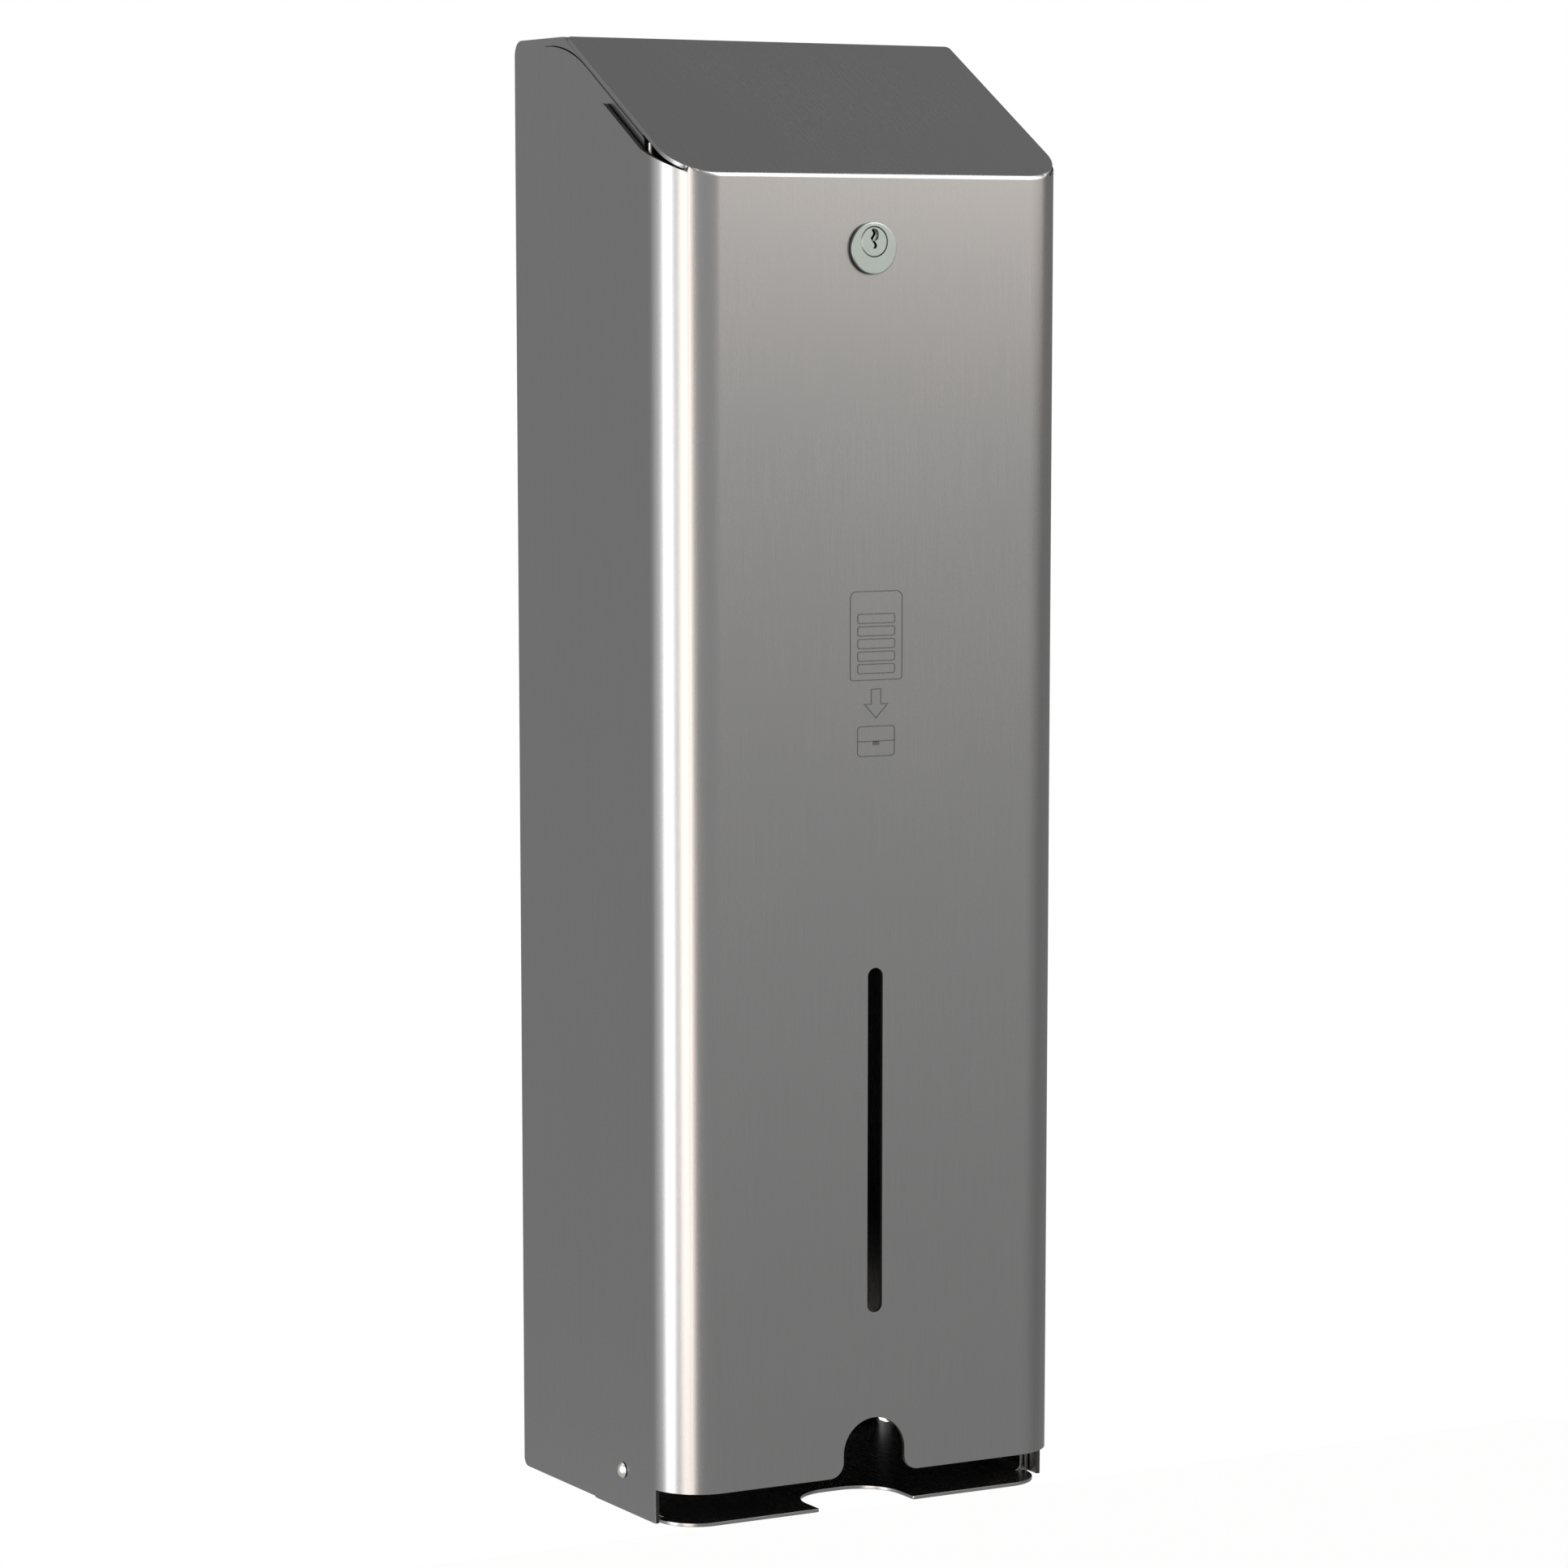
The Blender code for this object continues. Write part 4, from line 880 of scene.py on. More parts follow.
def bend_sections(size):
    """Sections of the bend into the lid, from the join to the front: across, depth, height."""
    sections = []
    for step in range(CORNER_STEPS + 1):
        past_join = (QUARTER_TURN - CORNER_JOIN_ANGLE) * step / CORNER_STEPS
        angle = CORNER_JOIN_ANGLE + past_join
        radius = FRONT_BEND_RADIUS * min(past_join / BEND_GROWTH_ANGLE, 1)
        turn = QUARTER_TURN - math.atan(math.tan(size.slope) * math.sin(angle))
        top = size.lid_height(size.corner_depth + size.cover_corner * math.sin(angle))
        start = top - radius * math.tan(turn / 2)
        section = []
        for bend_step in range(SHEET_BEND_STEPS + 1):
            bent = turn * bend_step / SHEET_BEND_STEPS
            reach = size.cover_corner - radius * (1 - math.cos(bent))
            section.append((size.half_front + reach * math.cos(angle),
                            size.corner_depth + reach * math.sin(angle),
                            start + radius * math.sin(bent)))
        sections.append(section)
    return sections


def lid_outline(size, sections):
    """The lid in plan. It is as wide as the case, and meets the cover's corners at the front."""
    reach = math.cos(CORNER_JOIN_ANGLE)
    radius = (size.half_case - size.half_front - size.cover_corner * reach) / (1 - reach)
    shift = size.cover_corner - radius
    centre = (size.half_case - radius,
              size.corner_depth + shift * math.sin(CORNER_JOIN_ANGLE))
    side = arc(centre, radius, 0, CORNER_JOIN_ANGLE, CORNER_STEPS)[:-1]
    side += [section[-1][:2] for section in sections]
    rear = rounded([
        (-size.half_case, centre[1], 0),
        (-size.half_case, LID_REAR_DEPTH, LID_REAR_RADIUS),
        (size.half_case, LID_REAR_DEPTH, LID_REAR_RADIUS),
        (size.half_case, centre[1], 0),
    ])
    return side + mirrored(side) + rear[1:-1]


def cover_corner_patches(size, side, stations, sections):
    """One rounded corner and the flat side behind it. The corner stops short of the tray."""
    top_depth = size.cover_depth - COVER_SIDE_REACH_TOP
    ease_depth = size.corner_depth - CORNER_EASE_START
    outline = rounded([
        (size.corner_depth, stations[0][2], 0),
        (ease_depth, size.lid_height(ease_depth) - COVER_SIDE_DROP, 0),
        (top_depth, size.lid_height(top_depth) - COVER_SIDE_DROP, COVER_SIDE_TOP_RADIUS),
        (size.cover_depth - COVER_SIDE_REACH_BOTTOM, COVER_SIDE_BOTTOM, COVER_SIDE_LOW_RADIUS),
        (size.corner_depth, COVER_SIDE_BOTTOM, 0),
    ])
    patches = [[place("X", side * size.half_cover, *point) for point in outline]]
    for index, (first, second) in enumerate(zip(stations, stations[1:])):
        # The first two steps round the corner reach down as far as the side does
        low = COVER_SIDE_BOTTOM if index < 2 else FRONT_BOTTOM
        patch = [place("Z", low, side * first[0], first[1]),
                 place("Z", low, side * second[0], second[1])]
        if index == 1:
            patch.append(place("Z", FRONT_BOTTOM, side * second[0], second[1]))
        patch += [place("Z", second[2], side * second[0], second[1]),
                  place("Z", first[2], side * first[0], first[1])]
        patches.append(patch)
    for first, second in zip(sections, sections[1:]):
        foot = (*first[0][:2], FRONT_BOTTOM)
        next_foot = (*second[0][:2], FRONT_BOTTOM)
        columns = zip([foot] + first[:-1], [next_foot] + second[:-1], second, first)
        for corners in columns:
            patches.append([place("Z", up, side * across, depth)
                            for across, depth, up in corners])
    return patches


def thumb_notch(size):
    """The arch at the bottom of the front, with flared feet."""
    radius = size.thumb_radius
    foot = radius + THUMB_NOTCH_FLARE
    arch = arc((0, THUMB_NOTCH_TOP - radius), radius, 0, 2 * QUARTER_TURN, CORNER_STEPS)
    flare = arc((-foot, FRONT_BOTTOM + THUMB_NOTCH_FLARE), THUMB_NOTCH_FLARE, 0, -QUARTER_TURN,
                SHEET_BEND_STEPS)
    below = FRONT_BOTTOM - OVERRUN
    return [(foot, below)] + mirrored(flare) + arch + flare + [(-foot, below)]


def sight_slot(size):
    """The upright slot that shows how full the stack is."""
    half = size.slot_width / 2
    top = arc((0, size.slot_top - half), half, 0, 2 * QUARTER_TURN, CORNER_STEPS // 2)
    bottom = arc((0, size.slot_bottom + half), half, -2 * QUARTER_TURN, 0, CORNER_STEPS // 2)
    return top + bottom


def build_front_cover(size):
    """Front, corners, sides and lid from one folded sheet, open round the lid's corners."""
    front_height = size.case_height - size.lid_fall
    stations = corner_stations(size)
    sections = bend_sections(size)
    profile = [(size.cover_depth, FRONT_BOTTOM)] + [point[1:] for point in sections[-1]]
    patches = strips(profile, size.half_front)
    patches.append([place("Z", size.lid_height(depth), across, depth)
                    for across, depth in lid_outline(size, sections)])
    for side in (-1, 1):
        patches += cover_corner_patches(size, side, stations, sections)
    sheet_steel = [finish("ground_stainless_sheet"), finish("laser_cut_oxide")]
    cover = folded_sheet("cover_and_lid", patches, (0, -1, 0), size.cover_sheet, sheet_steel)
    lock_height = front_height - LOCK_DROP
    lock_hole = double_d((LOCK_X, lock_height), LOCK_BODY_RADIUS + PIN_GAP,
                         LOCK_FLAT_HALF + PIN_GAP)
    openings = [thumb_notch(size), sight_slot(size), lock_hole]
    laser = prism("front_openings", "Y", size.cover_depth - OVERRUN, size.cover_depth + OVERRUN,
                  openings, sheet_steel)
    for face in laser.data.polygons:
        face.material_index = 1
    cut(cover, laser)
    pin_hole = circle((size.pin_depth, PIN_HEIGHT), PIN_RADIUS + PIN_GAP)
    reach = size.half_cover + OVERRUN
    cut(cover, prism("pin_holes", "X", -reach, reach, [pin_hole]))
    bake(cover)
    # The lid's edge is ground bright and then rounded
    for face in cover.data.polygons:
        lid_underside = size.lid_height(-face.center.y, size.cover_sheet + CORNER_GAP / 2)
        if face.center.z + CASE_HALF_HEIGHT > lid_underside:
            face.material_index = 0
    rims = sharp_points(cover.data)
    join_depth = size.corner_depth + size.cover_corner * math.sin(CORNER_JOIN_ANGLE)

    def on_rim(end):
        off_lid = abs(end.z + CASE_HALF_HEIGHT - size.lid_height(-end.y))
        return (off_lid < WELD_DISTANCE and tuple(end) in rims
                and -end.y < join_depth - LID_EDGE_ROUND)

    round_edges(cover, on_rim, LID_EDGE_ROUND)
    return finish_piece(cover, size.edge_break, "cover", "cover_steel", "front_cover")


# Hinge


def washer_ring(name, inner, outer, high, low):
    """A plain zinc-plated washer."""
    profile = [(inner, high), (outer, high), (outer, low), (inner, low)]
    return turned(name, profile, [finish("bright_zinc_plated_steel")], ROUND_STEPS // 2)


def build_hinge_side(size, word, side):
    """The rivet that a side of the cover turns on, and the washer under its closed end."""
    place_here = Matrix.Translation(place("X", side * size.half_cover, size.pin_depth,
                                          PIN_HEIGHT))
    place_here = place_here @ Matrix.Rotation(side * QUARTER_TURN, 4, "Y")
    washer_low = size.cover_sheet + COVER_SIDE_GAP + size.case_sheet + SEAT_GAP
    washer_high = washer_low + WASHER_THICKNESS
    tail = washer_high + SEAT_GAP
    dome_radius = (RIVET_HEAD_RADIUS**2 + RIVET_HEAD_HEIGHT**2) / (2 * RIVET_HEAD_HEIGHT)
    rim = math.asin(RIVET_HEAD_RADIUS / dome_radius)
    top = SEAT_GAP + RIVET_HEAD_HEIGHT
    dome = arc((0, top - dome_radius), dome_radius, QUARTER_TURN, QUARTER_TURN - rim,
               SHEET_BEND_STEPS)
    dome[0] = (0, top)
    profile = dome + [
        (PIN_RADIUS, SEAT_GAP),
        (PIN_RADIUS, -tail),
        (RIVET_TAIL_RADIUS, -tail),
        (RIVET_TAIL_RADIUS, -tail - RIVET_TAIL_HEIGHT / 2),
        (PIN_RADIUS, -tail - RIVET_TAIL_HEIGHT),
        (0, -tail - RIVET_TAIL_HEIGHT),
    ]
    rivet = turned("rivet_" + word, profile, [finish("bright_zinc_plated_steel")],
                   ROUND_STEPS // 2)
    rivet.data.transform(place_here)
    finish_piece(rivet, 0, "case", "zinc_plate", "hinge_rivet_" + word)
    washer = washer_ring("rivet_washer_" + word, PIN_RADIUS + PIN_GAP, WASHER_RADIUS,
                         -washer_low, -washer_high)
    washer.data.transform(place_here)
    finish_piece(washer, size.edge_break, "case", "zinc_plate", "hinge_washer_" + word)


# Cam lock, drawn with each piece's Z pointing out of the cover's face


def lock_place(size):
    """The matrix from a lock piece's own axes to its place on the cover."""
    height = size.case_height - size.lid_fall - LOCK_DROP
    origin = Matrix.Translation(place("Y", size.cover_depth, LOCK_X, height))
    return origin @ Matrix.Rotation(QUARTER_TURN, 4, "X")


def own_axes(axis, position, across, up):
    """A point drawn in a lock piece's own axes."""
    return Vector((across, up, position))


def bore(obj, low, high, *outlines):
    """Cuts outlines drawn in a lock piece's own axes out of it, from low to high."""
    cut(obj, prism("bore", "Z", low, high, outlines, (), own_axes))


def plug_shoulder(size):
    """Depth of the plug's rear end, just in front of the cam."""
    rail_rear = size.cover_depth - SIDE_FRONT_INSET_TOP - SEAT_GAP - RAIL_SHEET
    return rail_rear - CAM_GAP + SEAT_GAP


def threaded_sleeve(builder, radius, low, high, flat):
    """A helical thread between two heights, with a flat milled along each side."""
    rows_per_turn = 8
    rows = round((high - low) / LOCK_THREAD_PITCH * rows_per_turn)
    grid = []
    for row in range(rows + 1):
        height = low + (high - low) * row / rows
        ring = []
        for step in range(ROUND_STEPS):
            angle = 2 * math.pi * step / ROUND_STEPS
            turn = (height / LOCK_THREAD_PITCH - step / ROUND_STEPS) % 1
            reach = radius - LOCK_THREAD_DEPTH * (1 - abs(2 * turn - 1))
            across = max(-flat, min(flat, reach * math.cos(angle)))
            ring.append(builder.verts.new((across, reach * math.sin(angle), height)))
        grid.append(ring)
    for lower, upper in zip(grid, grid[1:]):
        join_rings(builder, lower, upper)


def build_lock_housing(size):
    """The housing with its round face, a threaded body with two flats and an offset bore."""
    chrome = finish("satin_chromed_zinc")
    body_end = -(size.cover_depth - plug_shoulder(size) - SEAT_GAP)
    edge = arc((LOCK_FACE_RADIUS - LOCK_FACE_EDGE, LOCK_FACE_THICKNESS - LOCK_FACE_EDGE),
               LOCK_FACE_EDGE, QUARTER_TURN, 0, SHEET_BEND_STEPS)
    core = LOCK_BODY_RADIUS - LOCK_THREAD_DEPTH
    neck = -size.cover_sheet
    housing = turned("lock_body", [(0, LOCK_FACE_THICKNESS)] + edge + [
        (LOCK_FACE_RADIUS, SEAT_GAP),
        (LOCK_BODY_RADIUS, SEAT_GAP),
        (LOCK_BODY_RADIUS, neck),
        (core, neck),
        (core, body_end),
        (0, body_end),
    ], [chrome])
    outside = LOCK_BODY_RADIUS + OVERRUN
    flats = []
    for side in (-1, 1):
        across = sorted((side * LOCK_FLAT_HALF, side * outside))
        flats.append([(across[0], -outside), (across[1], -outside),
                      (across[1], outside), (across[0], outside)])
    bore(housing, body_end - OVERRUN, SEAT_GAP, *flats)
    bore(housing, -PLUG_HEAD_DEPTH - PLUG_GAP, OVERRUN,
         circle((0, PLUG_OFFSET), PLUG_HEAD_RADIUS + PLUG_FACE_GAP))
    bore(housing, body_end - OVERRUN, 0, circle((0, PLUG_OFFSET), PLUG_BODY_RADIUS + PLUG_GAP))
    bake(housing)
    builder = bmesh.new()
    builder.from_mesh(housing.data)
    threaded_sleeve(builder, LOCK_BODY_RADIUS, body_end, neck, LOCK_FLAT_HALF)
    builder.to_mesh(housing.data)
    builder.free()
    housing.data.transform(lock_place(size))
    return finish_piece(housing, 0, "cover", "lock_chrome", "lock_housing")


def keyway():
    """The waved outline of the keyway, up one side and down the other."""
    right, left = [], []
    for step in range(CORNER_STEPS + 1):
        up = KEYWAY_LOW + (KEYWAY_HIGH - KEYWAY_LOW) * step / CORNER_STEPS
        sway = KEYWAY_WAVE * math.sin(2 * math.pi * (up - KEYWAY_LOW) / KEYWAY_WAVE_LENGTH)
        right.append((sway + KEYWAY_HALF_WIDTH, up))
        left.append((sway - KEYWAY_HALF_WIDTH, up))
    return right + left[::-1]


def key_guide():
    """The oval recess that leads the key into the keyway."""
    return rounded([
        (KEY_GUIDE_HALF, KEY_GUIDE_LOW, KEY_GUIDE_HALF),
        (KEY_GUIDE_HALF, KEYWAY_HIGH, KEY_GUIDE_HALF),
        (-KEY_GUIDE_HALF, KEYWAY_HIGH, KEY_GUIDE_HALF),
        (-KEY_GUIDE_HALF, KEY_GUIDE_LOW, KEY_GUIDE_HALF),
    ])


def plug_place(size):
    """The matrix for the plug and what turns with it, whose axis lies above the housing's."""
    return lock_place(size) @ Matrix.Translation((0, PLUG_OFFSET, 0))


def build_lock_plug(size):
    """The turning plug: head with a keyway, body and the square that drives the cam."""
    plug_length = size.cover_depth - plug_shoulder(size)
    face = LOCK_FACE_THICKNESS
    plug = turned("key_plug", [
        (0, face),
        (PLUG_HEAD_RADIUS - PLUG_EDGE, face),
        (PLUG_HEAD_RADIUS, face - PLUG_EDGE),
        (PLUG_HEAD_RADIUS, -PLUG_HEAD_DEPTH),
        (PLUG_BODY_RADIUS, -PLUG_HEAD_DEPTH),
        (PLUG_BODY_RADIUS, -plug_length),
        (0, -plug_length),
    ], [finish("satin_chromed_zinc")])
    bore(plug, face - KEY_GUIDE_DEPTH, face + OVERRUN, key_guide())
    bore(plug, face - KEYWAY_DEPTH, face + OVERRUN, keyway())
    square_end = plug_length + SEAT_GAP + CAM_THICKNESS
    drive = prism("drive_square", "Z", -square_end, -plug_length + OVERRUN,
                  [square(CAM_SQUARE_HALF)], (), own_axes)
    cut(plug, drive, "UNION")
    hole_end = square_end - CAM_SCREW_LENGTH - SEAT_GAP
    bore(plug, -square_end - OVERRUN, -hole_end,
         circle((0, 0), CAM_SCREW_RADIUS + PIN_GAP, ROUND_STEPS // 2))
    finish_piece(plug, 0, "lock", "lock_chrome", "lock_plug")
    plug.data.transform(plug_place(size))
    return plug


def build_lock_nut(size):
    """The hexagon nut behind the cover, with the tooth washer under it."""
    zinc = finish("bright_zinc_plated_steel")
    washer_high = -size.cover_sheet - SEAT_GAP
    washer_low = washer_high - TOOTH_WASHER_THICKNESS
    teeth = []
    for tooth in range(2 * TOOTH_COUNT):
        radius = TOOTH_WASHER_RADIUS - TOOTH_DEPTH * (tooth % 2)
        turn = math.pi / TOOTH_COUNT
        start = (tooth + TOOTH_SLANT_SHARE) * turn
        teeth += arc((0, 0), radius, start, start + (1 - 2 * TOOTH_SLANT_SHARE) * turn, 2)
    hole = circle((0, 0), LOCK_BODY_RADIUS + PIN_GAP)
    washer = prism("tooth_washer", "Z", washer_low, washer_high, [teeth], [zinc], own_axes)
    bore(washer, washer_low - OVERRUN, washer_high + OVERRUN, hole)
    finish_piece(washer, size.edge_break / 2, "cover", "zinc_plate", "lock_tooth_washer")
    nut_high = washer_low - SEAT_GAP
    nut_low = nut_high - NUT_THICKNESS
    corner = NUT_HALF_FLATS / math.cos(math.pi / HEX_SIDES)
    nut = prism("lock_hex_nut", "Z", nut_low, nut_high, [circle((0, 0), corner, HEX_SIDES)],
                [zinc], own_axes)
    bore(nut, nut_low - OVERRUN, nut_high + OVERRUN, hole)
    finish_piece(nut, NUT_CHAMFER / 2, "cover", "zinc_plate", "lock_nut")
    for piece in (washer, nut):
        piece.data.transform(lock_place(size))


def build_cam(size):
    """The cam on the plug's square, with its washer and screw. At rest it points aside."""
    zinc = finish("bright_zinc_plated_steel")
    high = -(size.cover_depth - plug_shoulder(size)) - SEAT_GAP
    low = high - CAM_THICKNESS
    outline = rounded([
        (-CAM_HALF_WIDTH, -CAM_HALF_WIDTH, CAM_HALF_WIDTH),
        (CAM_REACH, -CAM_HALF_WIDTH, CAM_TIP_RADIUS),
        (CAM_REACH, CAM_HALF_WIDTH, CAM_TIP_RADIUS),
        (-CAM_HALF_WIDTH, CAM_HALF_WIDTH, CAM_HALF_WIDTH),
    ])
    cam = prism("cam_arm", "Z", low, high, [outline], [zinc], own_axes)
    bore(cam, low - OVERRUN, high + OVERRUN, square(CAM_SQUARE_HALF + PIN_GAP))
    finish_piece(cam, size.edge_break, "lock", "zinc_plate", "lock_cam")
    washer_high = low - SEAT_GAP
    washer_low = washer_high - CAM_WASHER_THICKNESS
    washer = washer_ring("cam_screw_washer", CAM_SCREW_RADIUS + PIN_GAP, CAM_WASHER_RADIUS,
                         washer_high, washer_low)
    finish_piece(washer, size.edge_break / 2, "lock", "zinc_plate", "cam_washer")
    head_high = washer_low - SEAT_GAP
    head_low = head_high - CAM_SCREW_HEAD_HEIGHT
    dome = [(CAM_SCREW_HEAD_RADIUS / 2 * (1 + across),
             head_high - CAM_SCREW_HEAD_HEIGHT / 2 * (1 - up))
            for across, up in arc((0, 0), 1, 0, -QUARTER_TURN, SHEET_BEND_STEPS)]
    screw = turned("cam_fixing_screw", [
        (0, low + CAM_SCREW_LENGTH),
        (CAM_SCREW_RADIUS, low + CAM_SCREW_LENGTH),
        (CAM_SCREW_RADIUS, head_high),
        (CAM_SCREW_HEAD_RADIUS, head_high),
    ] + dome + [(0, head_low)], [zinc], ROUND_STEPS // 2)
    half, arm = CAM_SCREW_CROSS_HALF, CAM_SCREW_CROSS_REACH
    quarter = [(half, half), (half, arm), (-half, arm)]
    cross = []
    for turn in range(4):
        cross += quarter
        quarter = [(-up, across) for across, up in quarter]
    bore(screw, head_low - OVERRUN, head_low + CAM_SCREW_CROSS_DEPTH, cross)
    finish_piece(screw, 0, "lock", "zinc_plate", "cam_screw")
    for piece in (cam, washer, screw):
        piece.data.transform(plug_place(size))


# Printed sign


def ink_line(builder, points, closed, depth):
    """A printed line of even width along points given as (across, height)."""
    count = len(points)
    left, right = [], []
    for index, point in enumerate(points):
        before = points[index - 1] if closed or index > 0 else point
        after = points[(index + 1) % count] if closed or index < count - 1 else point
        here = Vector(point)
        incoming = (here - Vector(before)).normalized() if before != point else None
        outgoing = (Vector(after) - here).normalized() if after != point else None
        incoming = incoming or outgoing
        outgoing = outgoing or incoming
        along = (incoming + outgoing).normalized()
        normal = Vector((-along.y, along.x))
        mitre = max(normal.dot(Vector((-incoming.y, incoming.x))), INK_CORNER_LIMIT)
        spread = INK_LINE / 2 / mitre
        left.append(here + normal * spread)
        right.append(here - normal * spread)
    pairs = list(range(count)) + ([0] if closed else [])
    for level in (depth, depth + INK_THICKNESS):
        left_row, right_row = [[builder.verts.new(place("Y", level, *point)) for point in row]
                               for row in (left, right)]
        for first, second in zip(pairs, pairs[1:]):
            builder.faces.new([left_row[first], left_row[second], right_row[second],
                               right_row[first]])


def ink_patch(builder, points, depth):
    """A printed solid shape."""
    for level in (depth, depth + INK_THICKNESS):
        builder.faces.new([builder.verts.new(place("Y", level, *point)) for point in points])


def box_outline(half, low, high, low_radius, high_radius):
    """An upright box with rounded corners, the lower two and the upper two alike."""
    return rounded([(-half, low, low_radius), (half, low, low_radius),
                    (half, high, high_radius), (-half, high, high_radius)])


def build_printed_sign(size):
    """A plain pictogram: a case with a stack of packets, and an arrow to the one taken out."""
    builder = bmesh.new()
    depth = size.cover_depth + INK_THICKNESS
    low = SIGN_TOP - SIGN_HEIGHT
    boxes = [box_outline(SIGN_HALF, low, SIGN_TOP, SIGN_LOW_RADIUS, SIGN_TOP_RADIUS)]
    for packet in range(PACKET_COUNT):
        base = low + PACKET_START + packet * PACKET_SPACING
        boxes.append(box_outline(PACKET_HALF, base, base + PACKET_HEIGHT, PACKET_RADIUS,
                                 PACKET_RADIUS))
    tip = low - ARROW_REACH
    shoulder = tip + ARROW_HEAD
    start = low - ARROW_START
    arrow = [(ARROW_HALF, start), (ARROW_HALF, shoulder), (ARROW_HEAD_HALF, shoulder), (0, tip)]
    base = tip - ARROW_REACH
    fold = base + TAKEN_HEIGHT / 2
    boxes += [arrow + mirrored(arrow)[1:],
              box_outline(PACKET_HALF, base, base + TAKEN_HEIGHT, TAKEN_RADIUS, TAKEN_RADIUS)]
    for outline in boxes:
        ink_line(builder, outline, True, depth)
    ink_line(builder, [(-PACKET_HALF, fold), (PACKET_HALF, fold)], False, depth)
    ink_patch(builder, [(-TAB_HALF, fold - TAB_LENGTH), (TAB_HALF, fold - TAB_LENGTH),
                        (TAB_HALF, fold), (-TAB_HALF, fold)], depth)
    bmesh.ops.recalc_face_normals(builder, faces=builder.faces)
    sign = add_object("printed_sign", builder, [finish("screen_printed_ink")])
    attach(sign, "cover")
    return sign


# Stage


# Azimuth and elevation in degrees, distance, width and height in metres, strength and colour
LAMPS = {
    "left_panel": (89, -4, 1.6, 0.68, 1.5, 6.9, "#FFFFFF"),
    "warm_panel": (49, -4, 1.6, 0.77, 1.5, 6.6, "#FFF1E6"),
    "front_panel": (-48, 21.5, 1.8, 1.8, 0.9, 3.6, "#FFF2E5"),
    "top_panel": (-42, 41, 1.8, 1.3, 1.3, 8.0, "#FFFFFF"),
    "rear_left_panel": (121, 50, 1.6, 1.0, 1.0, 1.8, "#FFFFFF"),
}
LAMP_AIM = Vector((0, -0.06, 0))
REAR_RIGHT = (0.485, 0.874, 0.0)
FLOOR_HALF = 1.7
FLOOR_HEIGHT = -0.75


def add_lamp(name, azimuth, elevation, distance, width, height, radiance, hex_colour):
    """A lit panel that shows in the metal. Azimuth runs from the front to the left."""
    lamp = bpy.data.lights.new(name, "AREA")
    lamp.shape = "RECTANGLE"
    lamp.size = width
    lamp.size_y = height
    lamp.energy = radiance * math.pi * width * height
    lamp.color = linear(hex_colour)[:3]
    obj = bpy.data.objects.new(name, lamp)
    bpy.context.scene.collection.objects.link(obj)
    turn, rise = math.radians(azimuth), math.radians(elevation)
    toward = Vector((-math.sin(turn) * math.cos(rise), -math.cos(turn) * math.cos(rise),
                     math.sin(rise)))
    obj.location = LAMP_AIM + toward * distance
    obj.rotation_euler = toward.to_track_quat("Z", "Y").to_euler()
    obj.visible_camera = False
    obj.visible_diffuse = False
    return obj


def build_world():
    """A white surround. In the metal it is dimmer overhead and behind the dispenser."""
    world = bpy.data.worlds.new("white_surround")
    bpy.context.scene.world = world
    world.use_nodes = True
    tree = world.node_tree
    tree.nodes.clear()
    rays = add_node(tree, "LightPath").outputs
    in_metal = add_node(tree, "Math", {0: rays["Is Glossy Ray"], 1: rays["Is Transmission Ray"]},
                        operation="MAXIMUM").outputs[0]
    toward = add_node(tree, "TexCoord").outputs["Generated"]
    direction = add_node(tree, "SeparateXYZ", {0: toward}).outputs
    rear_right = add_node(tree, "VectorMath", {0: toward, 1: REAR_RIGHT},
                          operation="DOT_PRODUCT").outputs["Value"]
    # Each row: where it is measured, from and to which reading, and its strength at both ends
    shares = [
        (direction["Z"], 0.20, 0.80, 0.97, 0.72),
        (rear_right, -0.4, 0.4, 1.0, 0.80),
        (rear_right, 0.6, 0.95, 1.0, 0.40),
        (direction["X"], 0.55, 0.95, 1.0, 0.82),
        (direction["X"], -1.0, -0.60, 3.2, 1.0),
    ]
    level = 1.0
    for row in shares:
        share = add_node(tree, "MapRange", dict(zip(MAP_INPUTS, row)))
        level = add_node(tree, "Math", {0: level, 1: share.outputs[0]},
                         operation="MULTIPLY").outputs[0]
    # The front is lit more from its middle up
    ahead, climb = [add_node(tree, "MapRange", dict(zip(MAP_INPUTS, row))).outputs[0]
                    for row in ((direction["Y"], -0.80, -0.30, 0.50, 0.0),
                                (direction["Z"], -0.20, -0.03, -0.08, 1.06))]
    dim = add_node(tree, "Math", {0: ahead, 1: climb, 2: level}, operation="MULTIPLY_ADD")
    plain, shaded = [add_node(tree, "Background", {"Color": (1, 1, 1, 1), "Strength": strength})
                     for strength in (1.0, dim.outputs[0])]
    mix = add_node(tree, "MixShader", {0: in_metal, 1: plain.outputs[0], 2: shaded.outputs[0]})
    add_node(tree, "OutputWorld", {"Surface": mix.outputs[0]})


def build_floor():
    """A wide sheet of paper below the hanging dispenser."""
    builder = bmesh.new()
    bmesh.ops.create_grid(builder, x_segments=8, y_segments=8, size=FLOOR_HALF)
    floor = add_object("paper_floor", builder, [finish("white_paper_sweep")])
    floor.location = (0, 0, FLOOR_HEIGHT)


def build_camera():
    """A long lens from the left, above the dispenser's middle, with the verticals kept upright."""
    camera = bpy.data.cameras.new("photo_camera")
    camera.sensor_width = 36.0
    camera.lens = 117.03
    camera.shift_y = 0.1331
    camera.clip_start = 0.05
    obj = bpy.data.objects.new("photo_camera", camera)
    bpy.context.scene.collection.objects.link(obj)
    obj.location = (-0.84305, -1.5560, 0.1600)
    obj.rotation_euler = (math.radians(90 - 7.814), 0, math.radians(-29.31))
    bpy.context.scene.camera = obj


# Operators


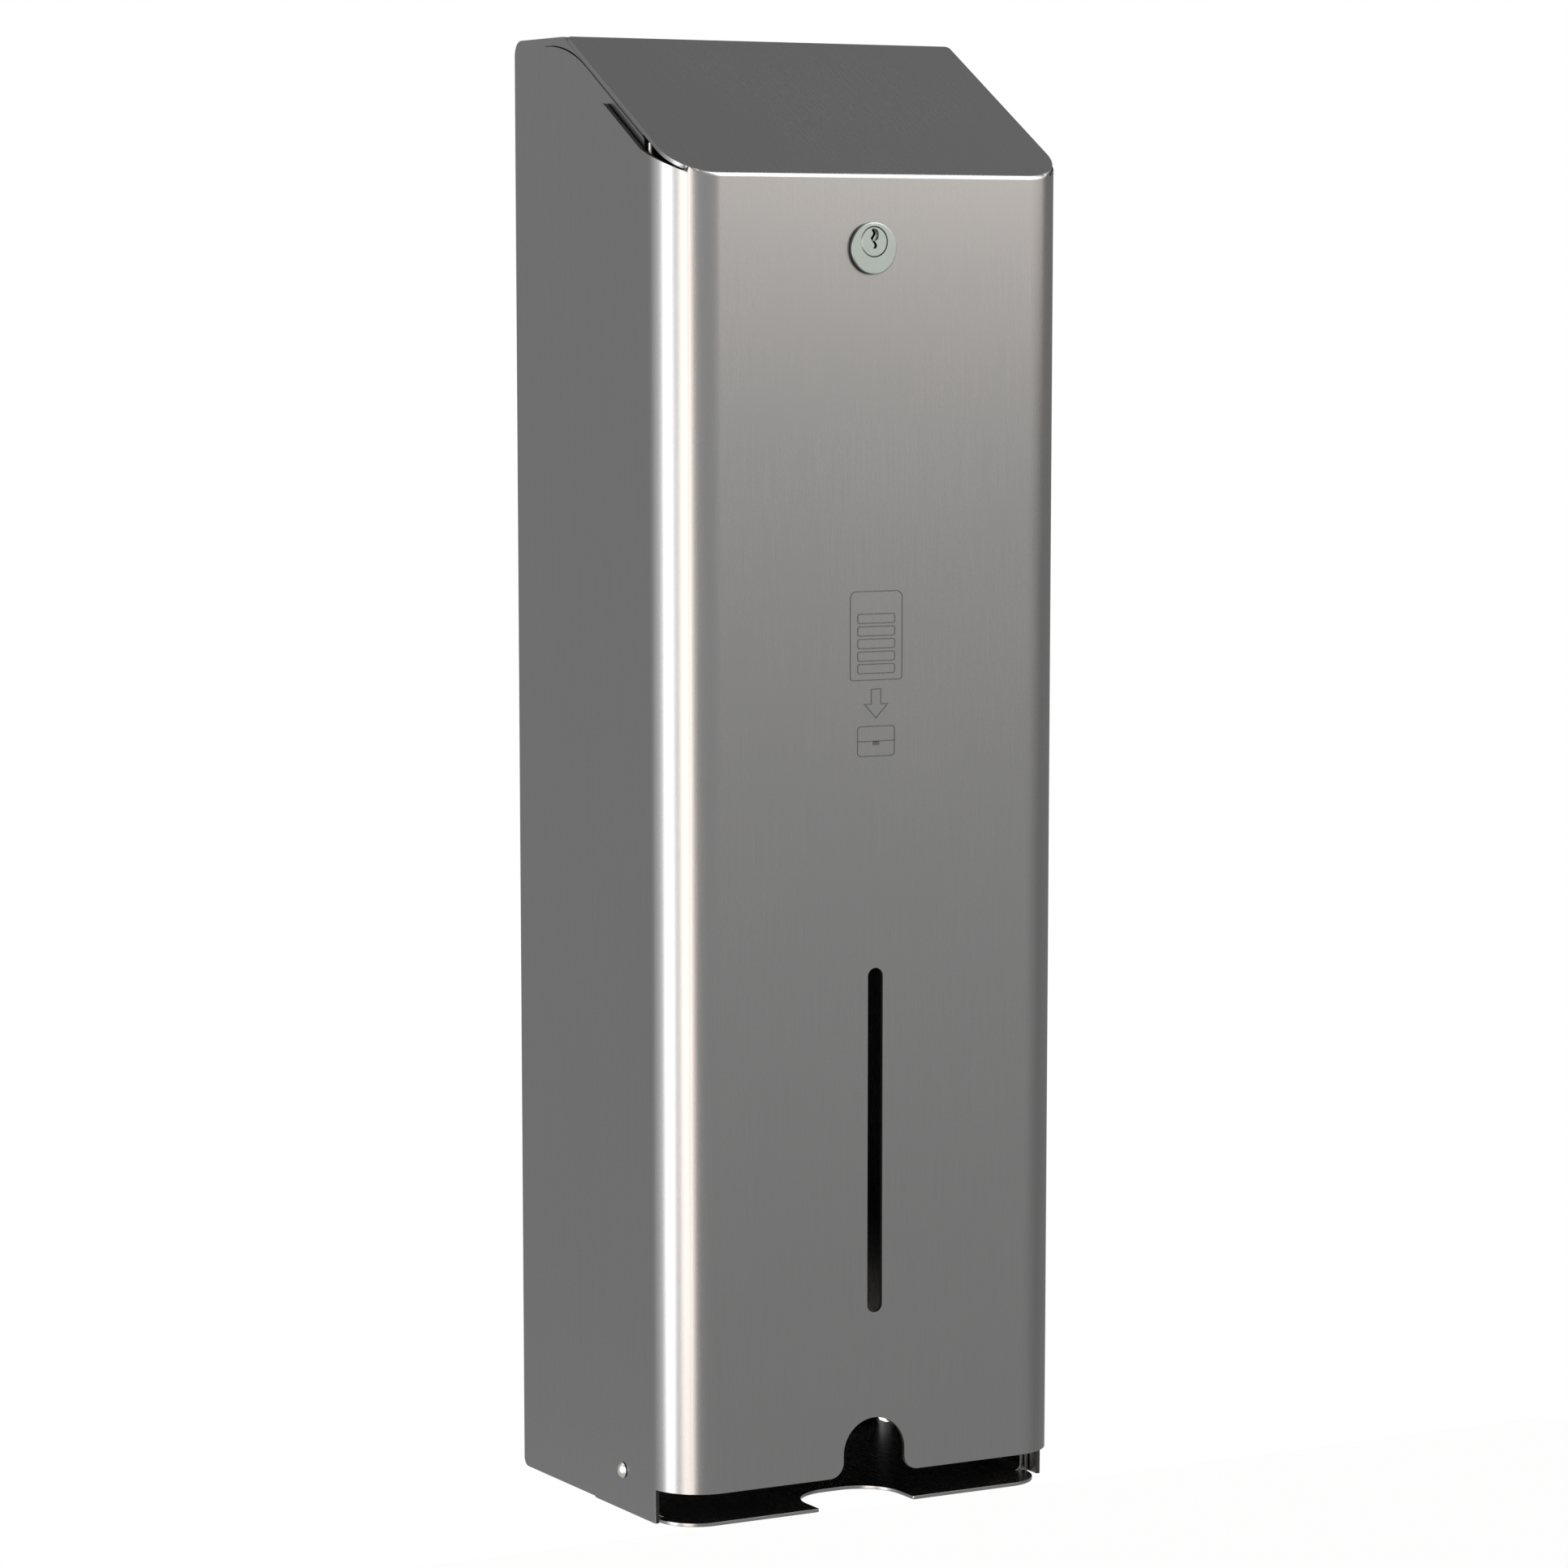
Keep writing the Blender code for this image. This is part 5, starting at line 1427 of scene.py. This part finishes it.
class DISPENSER_OT_case(bpy.types.Operator):
    """Back panel and side plates of the case"""

    bl_idname = "dispenser.case"
    bl_label = "Case"

    def execute(self, context):
        size = context.scene.dispenser_sizes
        build_back_panel(size)
        build_side_plate(size, "left", -1)
        build_side_plate(size, "right", 1)
        return {"FINISHED"}


class DISPENSER_OT_tray(bpy.types.Operator):
    """Bottom tray with its finger notch"""

    bl_idname = "dispenser.tray"
    bl_label = "Bottom tray"

    def execute(self, context):
        build_bottom_tray(context.scene.dispenser_sizes)
        return {"FINISHED"}


class DISPENSER_OT_rail(bpy.types.Operator):
    """Strike rail for the lock's cam"""

    bl_idname = "dispenser.rail"
    bl_label = "Strike rail"

    def execute(self, context):
        build_strike_rail(context.scene.dispenser_sizes)
        return {"FINISHED"}


class DISPENSER_OT_cover(bpy.types.Operator):
    """Front cover with its sides and lid"""

    bl_idname = "dispenser.cover"
    bl_label = "Front cover"

    def execute(self, context):
        build_front_cover(context.scene.dispenser_sizes)
        return {"FINISHED"}


class DISPENSER_OT_hinge(bpy.types.Operator):
    """Hinge rivets and their washers"""

    bl_idname = "dispenser.hinge"
    bl_label = "Hinge rivets"

    def execute(self, context):
        size = context.scene.dispenser_sizes
        build_hinge_side(size, "left", -1)
        build_hinge_side(size, "right", 1)
        return {"FINISHED"}


class DISPENSER_OT_lock(bpy.types.Operator):
    """Cam lock with its nut, washers, cam and screw"""

    bl_idname = "dispenser.lock"
    bl_label = "Cam lock"

    def execute(self, context):
        size = context.scene.dispenser_sizes
        build_lock_housing(size)
        build_lock_plug(size)
        build_lock_nut(size)
        build_cam(size)
        return {"FINISHED"}


class DISPENSER_OT_sign(bpy.types.Operator):
    """Printed pictogram on the cover"""

    bl_idname = "dispenser.sign"
    bl_label = "Printed sign"

    def execute(self, context):
        build_printed_sign(context.scene.dispenser_sizes)
        return {"FINISHED"}


class DISPENSER_OT_stage(bpy.types.Operator):
    """Floor, lamps, surround and camera"""

    bl_idname = "dispenser.stage"
    bl_label = "Stage"

    def execute(self, context):
        build_world()
        build_floor()
        for name, values in LAMPS.items():
            add_lamp(name, *values)
        build_camera()
        return {"FINISHED"}


class DISPENSER_PT_sidebar(bpy.types.Panel):
    """Lists the pieces, sizes and colours of the dispenser"""

    bl_label = "Dispenser"
    bl_idname = "DISPENSER_PT_sidebar"
    bl_space_type = "VIEW_3D"
    bl_region_type = "UI"
    bl_category = "Dispenser"

    def draw(self, context):
        layout = self.layout
        for operator in OPERATORS:
            layout.operator(operator.bl_idname)
        for group in (context.scene.dispenser_sizes, context.scene.dispenser_colours):
            box = layout.box()
            for name in group.bl_rna.properties.keys():
                if name not in ("rna_type", "name"):
                    box.prop(group, name)


OPERATORS = (
    DISPENSER_OT_stage,
    DISPENSER_OT_case,
    DISPENSER_OT_tray,
    DISPENSER_OT_rail,
    DISPENSER_OT_cover,
    DISPENSER_OT_hinge,
    DISPENSER_OT_lock,
    DISPENSER_OT_sign,
)
CLASSES = (DispenserSizes, DispenserColours) + OPERATORS + (DISPENSER_PT_sidebar,)


def register():
    """Adds the classes and the scene's sizes and colours."""
    for item in CLASSES:
        bpy.utils.register_class(item)
    bpy.types.Scene.dispenser_sizes = bpy.props.PointerProperty(type=DispenserSizes)
    bpy.types.Scene.dispenser_colours = bpy.props.PointerProperty(type=DispenserColours)


def unregister():
    """Takes the classes and the scene's sizes and colours away."""
    del bpy.types.Scene.dispenser_colours
    del bpy.types.Scene.dispenser_sizes
    for item in reversed(CLASSES):
        bpy.utils.unregister_class(item)


def main():
    """Builds the dispenser and its stage."""
    register()
    bpy.context.scene.view_settings.view_transform = "Standard"
    bpy.ops.dispenser.stage()
    bpy.ops.dispenser.case()
    bpy.ops.dispenser.tray()
    bpy.ops.dispenser.rail()
    bpy.ops.dispenser.cover()
    bpy.ops.dispenser.hinge()
    bpy.ops.dispenser.lock()
    bpy.ops.dispenser.sign()


if __name__ == "__main__":
    main()
